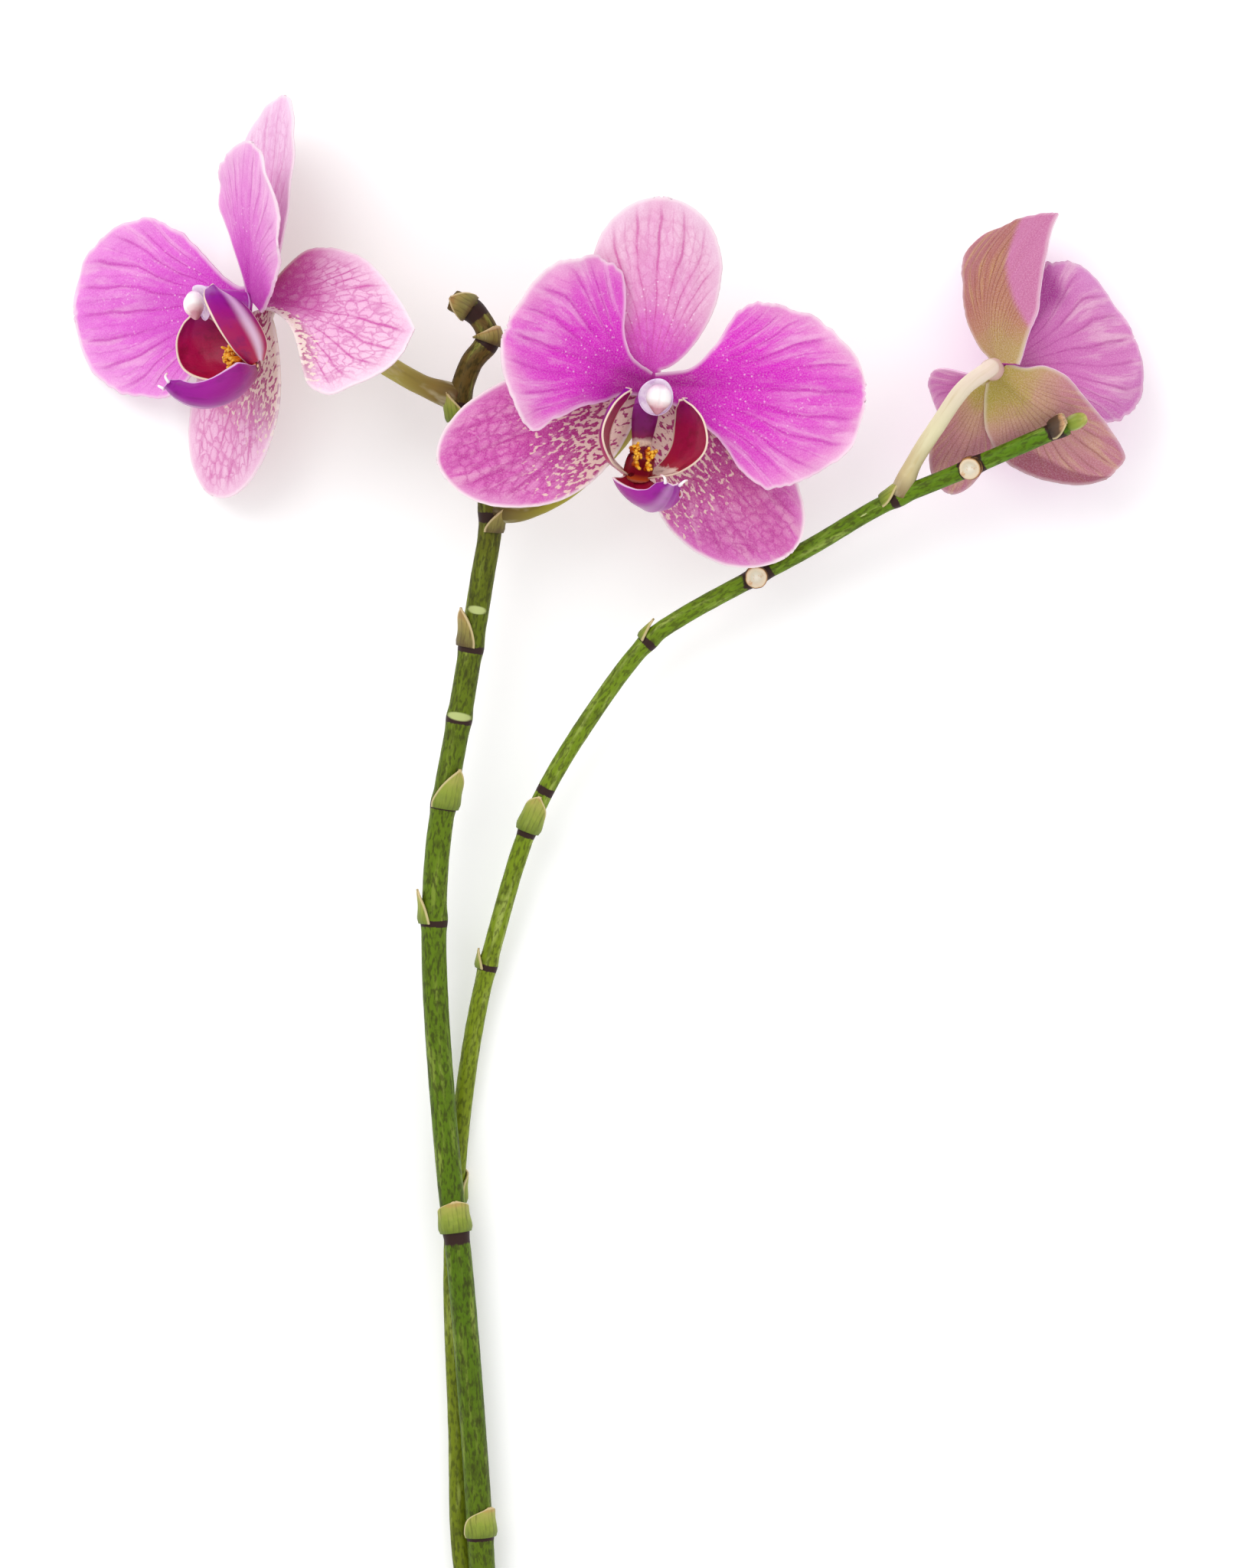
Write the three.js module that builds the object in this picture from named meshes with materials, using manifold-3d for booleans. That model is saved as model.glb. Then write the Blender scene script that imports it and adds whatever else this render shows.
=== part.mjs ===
// A cut moth orchid spray lying on a flat surface: two stems joined at a node near the cut end,
// three flowers on their own stalks, and the bracts, cut stalk stubs and buds along the stems.
// Millimetres. +Z is up, +Y runs from the cut end to the flowers, and the origin is on the surface
// in the middle of the spray.
import * as THREE from 'three';
import { mergeVertices } from 'three/addons/utils/BufferGeometryUtils.js';
import Module from 'manifold-3d';

const wasm = await Module();
wasm.setup();

// Driving dimensions
const gap = 0.3; // clear space between neighbouring pieces
const buttLength = 20; // stem below the node where the two stems join
const mainRadius = { cut: 3.15, middle: 2.95, top: 2.6 };
const sideRadius = { low: 2.25, tip: 2.0 };
const stalkRadius = { left: 2.45, centre: 2.2, right: 1.95 };
const tepalThickness = 0.8;
const bractThickness = 0.7;
const stubRadius = 2.4;
const stubHeight = 2.6;
const columnRadius = 2.6;
const columnLength = 10;
const capRadius = 3;
const lipThickness = 0.9;
const lipDrop = 17; // from the column's axis down to the hinge of the lip
const receptacleRadius = 2.7;
const budRadius = 1.9;
const budLength = 4.4;

const colours = {
  mainStem: 0x4f6b1c,
  sideStem: 0x6d8531,
  stalk: 0x9aa45a,
  bract: 0x9aa050,
  scar: 0xd9b98c,
  sepal: 0xdd8fcf,
  petal: 0xc93fc0,
  lip: 0xa8124f,
  column: 0xa02aa8,
  cap: 0xf6ecf0,
  dryBract: 0xb59a6a,
};
const X = new THREE.Vector3(1, 0, 0);
const Y = new THREE.Vector3(0, 1, 0);
const Z = new THREE.Vector3(0, 0, 1);
const degrees = THREE.MathUtils.degToRad;
const lerp = THREE.MathUtils.lerp;
const smooth = THREE.MathUtils.smoothstep;

const orchid = new THREE.Group();
const place = new THREE.Group();
orchid.add(place);

function addPiece(name, geometry, colour, parent = place) {
  const material = new THREE.MeshStandardMaterial({ color: colour, roughness: 0.55, metalness: 0 });
  const mesh = new THREE.Mesh(geometry, material);
  mesh.name = name;
  parent.add(mesh);
  return mesh;
}

// Closed geometry from points and triangles, ready for a boolean.
function closedGeometry(points, triangles) {
  const geometry = new THREE.BufferGeometry();
  geometry.setAttribute('position', new THREE.Float32BufferAttribute(points.flatMap((p) => p.toArray()), 3));
  geometry.setIndex(triangles.flat());
  return geometry;
}

function toSolid(geometry) {
  const plain = new THREE.BufferGeometry();
  plain.setAttribute('position', geometry.getAttribute('position').clone());
  if (geometry.index) plain.setIndex(geometry.index.clone());
  const merged = mergeVertices(plain, 1e-4);
  const mesh = new wasm.Mesh({
    numProp: 3,
    vertProperties: new Float32Array(merged.getAttribute('position').array),
    triVerts: new Uint32Array(merged.index.array),
  });
  return new wasm.Manifold(mesh);
}

function toGeometry(solid) {
  const mesh = solid.getMesh();
  const geometry = new THREE.BufferGeometry();
  geometry.setAttribute('position', new THREE.Float32BufferAttribute(mesh.vertProperties, 3));
  geometry.setIndex([...mesh.triVerts]);
  return geometry;
}

// Largest closed body of a boolean result: a cut may leave a loose sliver.
function largestBody(solid) {
  const bodies = solid.decompose();
  return bodies.reduce((best, body) => (body.volume() > best.volume() ? body : best));
}

// Round bar along a curve: rings of points with their own radius, closed by a fan at each end.
function sweep(curve, radiusAt, steps, sides) {
  const frames = curve.computeFrenetFrames(steps, false);
  const points = [];
  for (let i = 0; i <= steps; i += 1) {
    const centre = curve.getPointAt(i / steps);
    const radius = radiusAt(i / steps);
    for (let k = 0; k < sides; k += 1) {
      const angle = (k / sides) * 2 * Math.PI;
      const out = frames.normals[i].clone().multiplyScalar(Math.cos(angle) * radius);
      out.addScaledVector(frames.binormals[i], Math.sin(angle) * radius);
      points.push(centre.clone().add(out));
    }
  }
  const first = points.push(curve.getPointAt(0)) - 1;
  const last = points.push(curve.getPointAt(1)) - 1;
  const triangles = [];
  for (let k = 0; k < sides; k += 1) {
    const next = (k + 1) % sides;
    triangles.push([first, next, k], [last, steps * sides + k, steps * sides + next]);
    for (let i = 0; i < steps; i += 1) {
      const a = i * sides + k;
      const b = i * sides + next;
      triangles.push([a, b, b + sides], [a, b + sides, a + sides]);
    }
  }
  return closedGeometry(points, triangles);
}

// Thin closed sheet: pointAt(u, v) is its middle surface, u from 0 to 1 and v from -1 to 1.
function sheet(pointAt, lengthCells, widthCells, thickness) {
  const step = 1e-3;
  const rows = lengthCells + 1;
  const columns = widthCells + 1;
  const front = [];
  const back = [];
  for (let i = 0; i < rows; i += 1) {
    const u = (1 - Math.cos((Math.PI * i) / lengthCells)) / 2;
    for (let j = 0; j < columns; j += 1) {
      const v = (2 * j) / widthCells - 1;
      const centre = pointAt(u, v);
      const alongStep = u > 0.5 ? -step : step;
      const acrossStep = v > 0 ? -step : step;
      const along = pointAt(u + alongStep, v).sub(centre).multiplyScalar(Math.sign(alongStep));
      const across = pointAt(u, v + acrossStep).sub(centre).multiplyScalar(Math.sign(acrossStep));
      const normal = along.cross(across).normalize().multiplyScalar(thickness / 2);
      front.push(centre.clone().add(normal));
      back.push(centre.clone().sub(normal));
    }
  }
  const points = [...front, ...back];
  const under = front.length;
  const triangles = [];
  for (let i = 0; i < lengthCells; i += 1) {
    for (let j = 0; j < widthCells; j += 1) {
      const a = i * columns + j;
      const b = a + columns;
      triangles.push([a, b, b + 1], [a, b + 1, a + 1]);
      triangles.push([under + a, under + b + 1, under + b], [under + a, under + a + 1, under + b + 1]);
    }
  }
  const rim = [];
  for (let j = 0; j < widthCells; j += 1) rim.push(j);
  for (let i = 0; i < lengthCells; i += 1) rim.push(i * columns + widthCells);
  for (let j = widthCells; j > 0; j -= 1) rim.push(lengthCells * columns + j);
  for (let i = lengthCells; i > 0; i -= 1) rim.push(i * columns);
  rim.forEach((a, index) => {
    const b = rim[(index + 1) % rim.length];
    triangles.push([a, b, under + b], [a, under + b, under + a]);
  });
  return closedGeometry(points, triangles);
}

// Share of a petal's half width at u: a narrow claw, the widest place, and a round tip.
function widthShare(u, { widest = 0.55, claw = 0.8, tip = 2, foot = 0.1, end = 0.08 }) {
  if (u < widest) return foot + (1 - foot) * Math.sin((Math.PI / 2) * (u / widest)) ** claw;
  const t = Math.min((u - widest) / (1 - widest), 1);
  return Math.max((1 - t ** tip) ** (1 / tip), end);
}

// Middle surface of a petal. Its midrib is an arc whose ends lie on X; +Z is the front face.
// curl (degrees) turns the tip towards the front, cup lifts both edges, sway bends it sideways.
function petalSurface(shape) {
  const { length, left, right, curl = 0, cup = 0, sway = 0 } = shape;
  const turn = degrees(Math.abs(curl) < 1 ? 1 : curl);
  const radius = length / (2 * Math.sin(turn / 2));
  return (u, v) => {
    const angle = turn * (u - 0.5);
    const share = widthShare(u, shape);
    const across = v * (v > 0 ? left : right) * share;
    const lift = cup * v * v * share;
    return new THREE.Vector3(
      radius * (Math.sin(angle) + Math.sin(turn / 2)) - lift * Math.sin(angle),
      across + sway * 4 * u * (1 - u),
      radius * (Math.cos(turn / 2) - Math.cos(angle)) + lift * Math.cos(angle),
    );
  };
}

// Stems. Heights are of the centreline. The side stem lies on its low sheath where it passes below
// the main stem, which rests on it there.
const nodeSwelling = 0.3;
const sheathBuild = gap + bractThickness + nodeSwelling;
const sideLow = sideRadius.low + sheathBuild;
const crossing = sideLow + sideRadius.low + mainRadius.middle + gap + 2 * nodeSwelling;
const joint = new THREE.Vector3(-30, -173.5, mainRadius.cut + 1.4);
const cutEnd = new THREE.Vector3(-29.7, joint.y - buttLength, mainRadius.cut);
const point = (x, y, z) => new THREE.Vector3(x, y, z);

const mainRoute = [
  cutEnd,
  joint,
  point(-30.5, -153, crossing - 2.6),
  point(-33, -114.5, crossing - 1.1),
  point(-35.9, -80, crossing - 0.2),
  point(-37.9, -63, crossing + 0.2),
  point(-41.1, -22, 12.5),
  point(-41.6, -2, 13.8),
  point(-40.5, 18, 15.2),
  point(-35, 50, 18.2),
  point(-30.1, 79.5, 20.8),
  point(-28.2, 91.5, 22),
  point(-28.6, 99.5, 22.6),
  point(-35, 116, 24),
  point(-35.3, 121.5, 24.4),
  point(-32.6, 130, 25),
  point(-28.6, 135.8, 25.4),
  point(-31.4, 141.6, 25.8),
  point(-37.5, 145.2, 26.2),
];
const sideRoute = [
  joint,
  point(-35, -155, sideLow + 0.2),
  point(-36.4, -120, sideLow),
  point(-37.5, -83, sideLow),
  point(-36.1, -55, sideLow),
  point(-32.2, -26, 5.4),
  point(-27.2, -4.5, 7),
  point(-17.6, 25.3, 10.6),
  point(-3.3, 49.4, 14),
  point(9.2, 65.4, 16.5),
  point(16.8, 70.8, 17.4),
  point(46.9, 87.1, 19.5),
  point(64.3, 97.2, 23),
  point(81.6, 104.4, 28),
  point(106.9, 115.2, 35),
];

// A stem knows its radius at a distance from its lower end, with a low swelling at each node.
function makeStem(route, baseRadius, nodes, steps, sides) {
  const curve = new THREE.CatmullRomCurve3(route, false, 'centripetal');
  const length = curve.getLength();
  const nodeReach = 3.5;
  const radiusAt = (distance) => {
    const nearest = Math.min(...nodes.map((node) => Math.abs(node - distance)));
    return baseRadius(distance / length) + nodeSwelling * (1 - smooth(nearest, 0, nodeReach));
  };
  const skin = (extra) => sweep(curve, (share) => radiusAt(share * length) + extra, steps, sides);
  return { curve, length, skin, radiusAt };
}

// Nodes, as distances along each stem from the place where the two join.
const node = {
  lowSheath: 28,
  middleSheath: 100.5,
  smallBract: 174,
  frontBract: 201.5,
  ringScar: 222,
  leafyBract: 239,
  centreStalk: 271.5,
  leftStalk: 299,
  topRing: 314,
  tipBract: 323,
};
const sideNode = {
  lowSheath: 107.5,
  smallBract: 163.5,
  longSheath: 198,
  point: 251,
  lowStub: 280.5,
  stalk: 319,
  highStub: 338,
  end: 361,
};
const mainShare = 0.6;
const mainStem = makeStem(
  mainRoute,
  (share) => (share < mainShare
    ? lerp(mainRadius.cut, mainRadius.middle, share / mainShare)
    : lerp(mainRadius.middle, mainRadius.top, (share - mainShare) / (1 - mainShare))),
  Object.values(node).map((distance) => distance + buttLength),
  72,
  8,
);
const sideStem = makeStem(
  sideRoute,
  (share) => lerp(sideRadius.low, sideRadius.tip, share),
  Object.values(sideNode),
  64,
  8,
);
const mainBody = toSolid(mainStem.skin(0));
const mainClear = toSolid(mainStem.skin(gap));
const sideBody = largestBody(toSolid(sideStem.skin(0)).subtract(mainClear));
const sideClear = toSolid(sideStem.skin(gap));
const clearances = [mainClear, sideClear]; // a bract is trimmed to these
addPiece('main_stem', toGeometry(mainBody), colours.mainStem);
addPiece('side_stem', toGeometry(sideBody), colours.sideStem);

// Frame on a stem at a distance from its lower end: along it, up out of the surface, and across.
function stemFrame(stem, distance) {
  const share = THREE.MathUtils.clamp(distance / stem.length, 0, 1);
  const along = stem.curve.getTangentAt(share).normalize();
  const across = new THREE.Vector3().crossVectors(along, Z).normalize();
  const up = new THREE.Vector3().crossVectors(across, along);
  return { centre: stem.curve.getPointAt(share), along, across, up, radius: stem.radiusAt(distance) };
}

const onMain = (distance) => buttLength + distance;

// Flowers. A flower's own frame has Z out of its face, Y up towards its dorsal sepal and X to the
// right as its face is seen; its origin is where the petals meet.
const layerStep = tepalThickness + gap + 0.5;

function flowerFrame(centre, facing, up, depth = layerStep) {
  const out = facing.clone().normalize();
  const right = new THREE.Vector3().crossVectors(up, out).normalize();
  const top = new THREE.Vector3().crossVectors(out, right);
  const group = new THREE.Group();
  group.position.copy(centre);
  group.userData.depth = depth; // the sepals stand this far behind the petals' level
  group.quaternion.setFromRotationMatrix(new THREE.Matrix4().makeBasis(right, top, out));
  place.add(group);
  return group;
}

// A sepal or petal: turn is its direction round the flower (0 right, 90 up), rise its lean
// towards the front and twist its turn about its own midrib.
function tepal(name, flower, isPetal, shape) {
  const { turn, rise, twist, reach = columnRadius + gap + 0.7 } = shape;
  const colour = isPetal ? colours.petal : colours.sepal;
  const mesh = addPiece(name, sheet(petalSurface(shape), 8, 6, tepalThickness), colour, flower);
  const level = isPetal ? layerStep / 2 : -flower.userData.depth;
  mesh.position.set(Math.cos(degrees(turn)) * reach, Math.sin(degrees(turn)) * reach, level);
  mesh.rotation.set(degrees(twist), degrees(-rise), degrees(turn), 'ZYX');
}

// Lip: one fleshy organ of three lobes. Two ears stand up beside the column, the boat-shaped
// middle lobe runs forward and turns up, and the callus sits where they meet. Its points are
// measured from the hinge, where the lip joins the column's foot.
function lipSolid(swing) {
  const keel = new THREE.CatmullRomCurve3([
    point(0, 0.5, -1),
    point(0, -4.3, 2.4),
    point(0, -7.9, 7),
    point(0, -9.5, 12.5),
    point(0, -9, 17.5),
    point(0, -7, 21),
    point(0, -4.6, 23),
  ]);
  const boat = (u, v) => {
    const shoulder = 0.34;
    const girth = u < shoulder
      ? lerp(2.6, 10.3, smooth(u, 0, shoulder))
      : lerp(10.3, 4, smooth(u, shoulder, 1));
    const bend = degrees(lerp(48, 78, u)); // the walls stand up more steeply towards the tip
    const inner = new THREE.Vector3().crossVectors(X, keel.getTangentAt(u)).negate();
    return keel.getPointAt(u)
      .addScaledVector(X, (girth * Math.sin(v * bend)) / bend)
      .addScaledVector(inner, (girth * (1 - Math.cos(v * bend))) / bend)
      .applyAxisAngle(Y, degrees(swing));
  };
  let solid = toSolid(sheet((u, v) => boat(u, -v), 8, 6, lipThickness));
  const backEdge = new THREE.CatmullRomCurve3([
    point(2.2, 0.8, -1.2),
    point(5.5, 3.5, -1.5),
    point(7.4, 8, 0.5),
    point(6.8, 13.5, 3.5),
    point(5.3, 17.4, 8.5),
  ]);
  const frontEdge = new THREE.CatmullRomCurve3([
    point(2.4, -0.6, 2.5),
    point(8.3, 1, 8.5),
    point(12.3, 6, 13.3),
    point(11, 12.5, 14.3),
    point(6.3, 18, 11.5),
  ]);
  const bulge = 1.4;
  [-1, 1].forEach((side) => {
    const ear = (u, v) => {
      const share = (1 - side * v) / 2;
      const at = backEdge.getPoint(u).lerp(frontEdge.getPoint(u), share);
      at.x = side * (at.x + bulge * 4 * share * (1 - share));
      return at;
    };
    solid = solid.add(toSolid(sheet(ear, 6, 4, lipThickness)));
  });
  const base = new THREE.SphereGeometry(1, 8, 6).scale(3.4, 1.8, 2.9).translate(0, 0.3, 0.8);
  const callus = new THREE.SphereGeometry(1, 8, 6).scale(2.5, 2.3, 2).translate(0, 3.2, 3.2);
  return largestBody(solid.add(toSolid(base)).add(toSolid(callus))).translate([0, -lipDrop, 0]);
}

// Column: a short rod out of the middle of the flower with a foot that runs down to the lip.
function columnSolid(root) {
  const axis = new THREE.CatmullRomCurve3([
    point(0, 0, 0.2 - root),
    point(0, 0.6, 5),
    point(0, 0, columnLength),
  ]);
  const rod = toSolid(sweep(axis, (t) => columnRadius * (1 + 0.4 * smooth(t, 0.5, 1)), 8, 10));
  const footRoute = new THREE.CatmullRomCurve3([
    point(0, -0.5, 2.4),
    point(0, -lipDrop / 3, 1.8),
    point(0, -lipDrop + 6.2, 2.2),
  ]);
  const foot = sweep(footRoute, () => 1, 5, 8);
  foot.applyMatrix4(new THREE.Matrix4().makeScale(columnRadius, 1, 0.9));
  return rod.add(toSolid(foot));
}

// Heart of a flower: its column, anther cap and lip, at a place in the flower's frame. lean turns
// it in the flower's plane, pitch tips it back and swing turns the middle lobe to one side.
function flowerHeart(prefix, flower, { at, lean, pitch = 0, swing = 0, size = 1 }) {
  const heart = new THREE.Group();
  heart.rotation.set(degrees(-pitch), 0, degrees(lean), 'ZXY');
  heart.scale.setScalar(size);
  heart.position.copy(at);
  flower.add(heart);
  addPiece(`${prefix}_column`, toGeometry(columnSolid(at.z / size)), colours.column, heart);
  const cap = new THREE.SphereGeometry(capRadius, 12, 8);
  cap.scale(1, 1.05, 0.8).translate(0, -0.4, columnLength + gap + 0.8 * capRadius);
  addPiece(`${prefix}_anther_cap`, cap, colours.cap, heart);
  addPiece(`${prefix}_lip`, toGeometry(lipSolid(swing)), colours.lip, heart);
}

// Centre flower: faces up out of the surface, a little to the right and down.
const centre = flowerFrame(point(9.6, 123.8, 40.5), point(0.2, -0.27, 0.93), Y);
tepal('centre_dorsal_sepal', centre, false, {
  turn: 90.5, rise: 3, twist: -4, length: 41, left: 15.2, right: 15.2,
  curl: -16, cup: -1.5, claw: 0.6, widest: 0.58,
});
tepal('centre_left_petal', centre, true, {
  turn: 158, rise: 14, twist: 8, length: 37.5, left: 20, right: 22.5,
  curl: -14, claw: 1.7, tip: 2.3,
});
tepal('centre_right_petal', centre, true, {
  turn: 1.5, rise: 10, twist: -8, length: 46, left: 20.5, right: 22.5,
  curl: -14, claw: 1.6, widest: 0.56, tip: 2.3,
});
tepal('centre_left_lateral_sepal', centre, false, {
  turn: -156, rise: -7, twist: 8, length: 49, left: 17.5, right: 13.5,
  curl: -16, claw: 0.8, widest: 0.5,
});
tepal('centre_right_lateral_sepal', centre, false, {
  turn: -48, rise: 3, twist: 4, length: 49.5, left: 13.5, right: 18,
  curl: -16, claw: 0.8, widest: 0.52,
});
flowerHeart('centre', centre, { at: point(-1.4, -4.2, 0), lean: -9, pitch: 21, swing: 8 });

// Left flower: faces left, so its right petal and sepal come up towards the eye.
const left = flowerFrame(point(-84.4, 144.8, 27.3), point(-0.92, -0.02, 0.39), point(0.08, 1, 0), 4.5);
tepal('left_dorsal_sepal', left, false, {
  turn: 94, rise: -7, twist: 2, length: 46, left: 16, right: 12, curl: -12, claw: 0.7,
});
tepal('left_left_petal', left, true, {
  turn: -176, rise: 39, twist: -3, length: 46, left: 21, right: 21.5,
  curl: 6, claw: 1.4, tip: 2.2,
});
tepal('left_right_petal', left, true, {
  turn: 58, rise: 8, twist: 6, length: 37.5, left: 17, right: 17, curl: -8, claw: 1.4, tip: 2.2,
});
tepal('left_left_lateral_sepal', left, false, {
  turn: -116, rise: 9, twist: -20, length: 47, left: 16, right: 13.5,
  curl: -14, claw: 0.8, widest: 0.5,
});
tepal('left_right_lateral_sepal', left, false, {
  turn: -15, rise: -38, twist: -38, length: 38.5, left: 16.5, right: 18.5,
  curl: -24, claw: 0.9, widest: 0.6,
});
flowerHeart('left', left, { at: point(0, -0.8, 1.1), lean: 25 });

// Right flower: smaller and more cupped, seen from behind, its face turned down and to the right.
const right = flowerFrame(point(90.2, 128, 34), point(0.3, 0.03, -0.95), point(0.2, 1, 0));
tepal('right_dorsal_sepal', right, false, {
  turn: 92, rise: 28, twist: -32, length: 39, left: 11, right: 10.5,
  curl: 16, cup: 2, sway: -6.3, claw: 0.6,
});
tepal('right_left_petal', right, true, {
  turn: 152, rise: 51, twist: -8, length: 37, left: 19, right: 22, curl: 10, claw: 1.5, tip: 2.2,
});
tepal('right_right_petal', right, true, {
  turn: -45, rise: 52, twist: -10, length: 28, left: 11, right: 11, curl: 14, claw: 1.5, tip: 2.2,
});
tepal('right_right_lateral_sepal', right, false, {
  turn: -73, rise: 27, twist: -24, length: 32, left: 8.5, right: 6.2,
  curl: 12, claw: 0.7, widest: 0.5,
});
tepal('right_left_lateral_sepal', right, false, {
  turn: -147, rise: 36, twist: 9, length: 36.5, left: 12.5, right: 11,
  curl: 12, claw: 0.7, widest: 0.5,
});
flowerHeart('right', right, { at: point(0, 0, 7.7 + tepalThickness), lean: -16, size: 0.66 });

// Flower stalks: from a node on a stem to the back of a flower, flared at both ends.
function stalk(name, stem, { at, flower, radius, route }) {
  const frame = stemFrame(stem, at);
  const out = new THREE.Vector3(0, 0, 1).applyQuaternion(flower.quaternion);
  const end = flower.position.clone().addScaledVector(out, -flower.userData.depth - tepalThickness - gap);
  const approach = end.clone().addScaledVector(out, -5);
  const curve = new THREE.CatmullRomCurve3([frame.centre, ...route, approach, end], false, 'centripetal');
  const girth = (t) => radius * (1 + 0.3 * (1 - smooth(t, 0.02, 0.2)))
    + (receptacleRadius - radius) * smooth(t, 0.85, 1);
  const body = toSolid(sweep(curve, girth, 26, 8)).subtract(toSolid(stem.skin(gap)));
  clearances.push(toSolid(sweep(curve, (t) => girth(t) + gap, 26, 8)));
  addPiece(name, toGeometry(largestBody(body)), colours.stalk);
}
stalk('centre_stalk', mainStem, {
  at: onMain(node.centreStalk),
  flower: centre,
  radius: stalkRadius.centre,
  route: [point(-20.5, 95.6, 23.5), point(-11.5, 99.5, 25), point(-1.5, 108, 27.5), point(5.5, 117, 31)],
});
stalk('left_stalk', mainStem, {
  at: onMain(node.leftStalk),
  flower: left,
  radius: stalkRadius.left,
  route: [point(-44, 125, 24.4), point(-52, 129.5, 24), point(-62, 136, 23.4), point(-71, 141, 23)],
});
stalk('right_stalk', sideStem, {
  at: sideNode.stalk,
  flower: right,
  radius: stalkRadius.right,
  route: [point(71, 106.5, 26.5), point(76.3, 115, 32.5), point(82.3, 123.5, 40), point(88, 127.7, 44.5)],
});

// Bract: a leaf that clasps the stem. facing is the side it is on, in degrees: 0 is up, 90 is the
// right-hand side when looking along the stem. It narrows to its tip and leans out by flare.
function bract(name, stem, shape, colour = colours.bract) {
  const { at, length, facing, clasp, flare = 0, narrow = 1.6 } = shape;
  const facetRoom = 0.15; // keeps flat facets clear of the round stem
  const surface = (u, v) => {
    const half = degrees(clasp) * Math.max(1 - u ** narrow, 0.06);
    const angle = degrees(facing) - v * half;
    const frame = stemFrame(stem, at + u * length);
    const offset = frame.radius + gap + facetRoom + bractThickness / 2 + flare * u * u;
    return frame.centre
      .addScaledVector(frame.up, Math.cos(angle) * offset)
      .addScaledVector(frame.across, Math.sin(angle) * offset);
  };
  const widthCells = clasp > 80 ? 8 : 4;
  const leaf = toSolid(sheet(surface, 4, widthCells, bractThickness));
  const solid = clearances.reduce((rest, clearance) => rest.subtract(clearance), leaf);
  addPiece(name, toGeometry(largestBody(solid)), colour);
}

bract('main_low_sheath', mainStem, {
  at: onMain(node.lowSheath) - 1, length: 7, facing: 50, clasp: 115, narrow: 4,
});
bract('main_middle_sheath', mainStem, {
  at: onMain(node.middleSheath) - 1, length: 7.5, facing: 10, clasp: 125, narrow: 4,
});
bract('main_small_bract', mainStem, {
  at: onMain(node.smallBract) - 1, length: 8, facing: -75, clasp: 60, flare: 0.8,
});
bract('main_front_bract', mainStem, {
  at: onMain(node.frontBract) - 1, length: 10, facing: 35, clasp: 85, flare: 0.9,
});
bract('main_leafy_bract', mainStem, {
  at: onMain(node.leafyBract), length: 9, facing: -50, clasp: 65, flare: 1.6,
});
bract('centre_stalk_bract', mainStem, {
  at: onMain(node.centreStalk) - 5, length: 6, facing: 60, clasp: 85, flare: 0.8,
});
bract('left_stalk_bract', mainStem, {
  at: onMain(node.leftStalk) - 5, length: 6, facing: -50, clasp: 85, flare: 0.8,
});
bract('main_top_ring', mainStem, {
  at: onMain(node.topRing), length: 3, facing: 40, clasp: 150, narrow: 4,
});
bract('main_tip_bract', mainStem, {
  at: onMain(node.tipBract), length: 6, facing: 0, clasp: 80, flare: 0.3,
});
bract('side_low_sheath', sideStem, {
  at: sideNode.lowSheath - 1, length: 8, facing: 140, clasp: 105, narrow: 4,
});
bract('side_small_bract', sideStem, {
  at: sideNode.smallBract - 1, length: 4.5, facing: -80, clasp: 60, flare: 0.5,
});
bract('side_long_sheath', sideStem, {
  at: sideNode.longSheath - 1, length: 9, facing: -10, clasp: 110, narrow: 2.5,
});
bract('side_point_bract', sideStem, {
  at: sideNode.point - 1, length: 5, facing: -80, clasp: 60, flare: 0.6,
});
bract('right_stalk_bract', sideStem, {
  at: sideNode.stalk - 4, length: 6, facing: -60, clasp: 75, flare: 0.8,
});
bract('side_dry_bract', sideStem, {
  at: sideNode.end - 6, length: 6, facing: -30, clasp: 60, flare: 1.4,
}, colours.dryBract);

// Stub of a cut flower stalk: a low turned plug that stands on the stem and is trimmed to it.
function stub(name, stem, { at, facing }) {
  const sunk = 2 * stubRadius;
  const rim = 0.35;
  const profile = [
    new THREE.Vector2(0, -sunk),
    new THREE.Vector2(stubRadius * 1.15, -sunk),
    new THREE.Vector2(stubRadius * 1.15, 0),
    new THREE.Vector2(stubRadius, stubHeight - rim),
    new THREE.Vector2(stubRadius - rim, stubHeight),
    new THREE.Vector2(0, stubHeight),
  ];
  const frame = stemFrame(stem, at);
  const out = frame.up.multiplyScalar(Math.cos(degrees(facing)))
    .addScaledVector(frame.across, Math.sin(degrees(facing)));
  const plug = new THREE.LatheGeometry(profile, 12);
  plug.applyQuaternion(new THREE.Quaternion().setFromUnitVectors(Y, out));
  const foot = frame.centre.addScaledVector(out, frame.radius - 0.4);
  plug.translate(foot.x, foot.y, foot.z);
  const clear = toSolid(stem.skin(gap));
  const below = toSolid(new THREE.CylinderGeometry(sunk * 2, sunk * 2, sunk * 2, 12)
    .applyQuaternion(new THREE.Quaternion().setFromUnitVectors(Y, out))
    .translate(...foot.clone().addScaledVector(out, -sunk * 2 - 0.6).toArray()));
  const solid = largestBody(toSolid(plug).subtract(clear).subtract(below));
  addPiece(name, toGeometry(solid), colours.scar);
}
stub('side_low_stub', sideStem, { at: sideNode.lowStub, facing: 5 });
stub('side_high_stub', sideStem, { at: sideNode.highStub, facing: 5 });

// Bud at the end of the side stem.
const tip = stemFrame(sideStem, sideStem.length);
const bud = new THREE.SphereGeometry(1, 12, 8).scale(budRadius, budLength / 2, budRadius);
bud.applyQuaternion(new THREE.Quaternion().setFromUnitVectors(Y, tip.along));
tip.centre.addScaledVector(tip.along, gap + budLength / 2);
addPiece('side_tip_bud', bud.translate(...tip.centre.toArray()), colours.bract);

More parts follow.
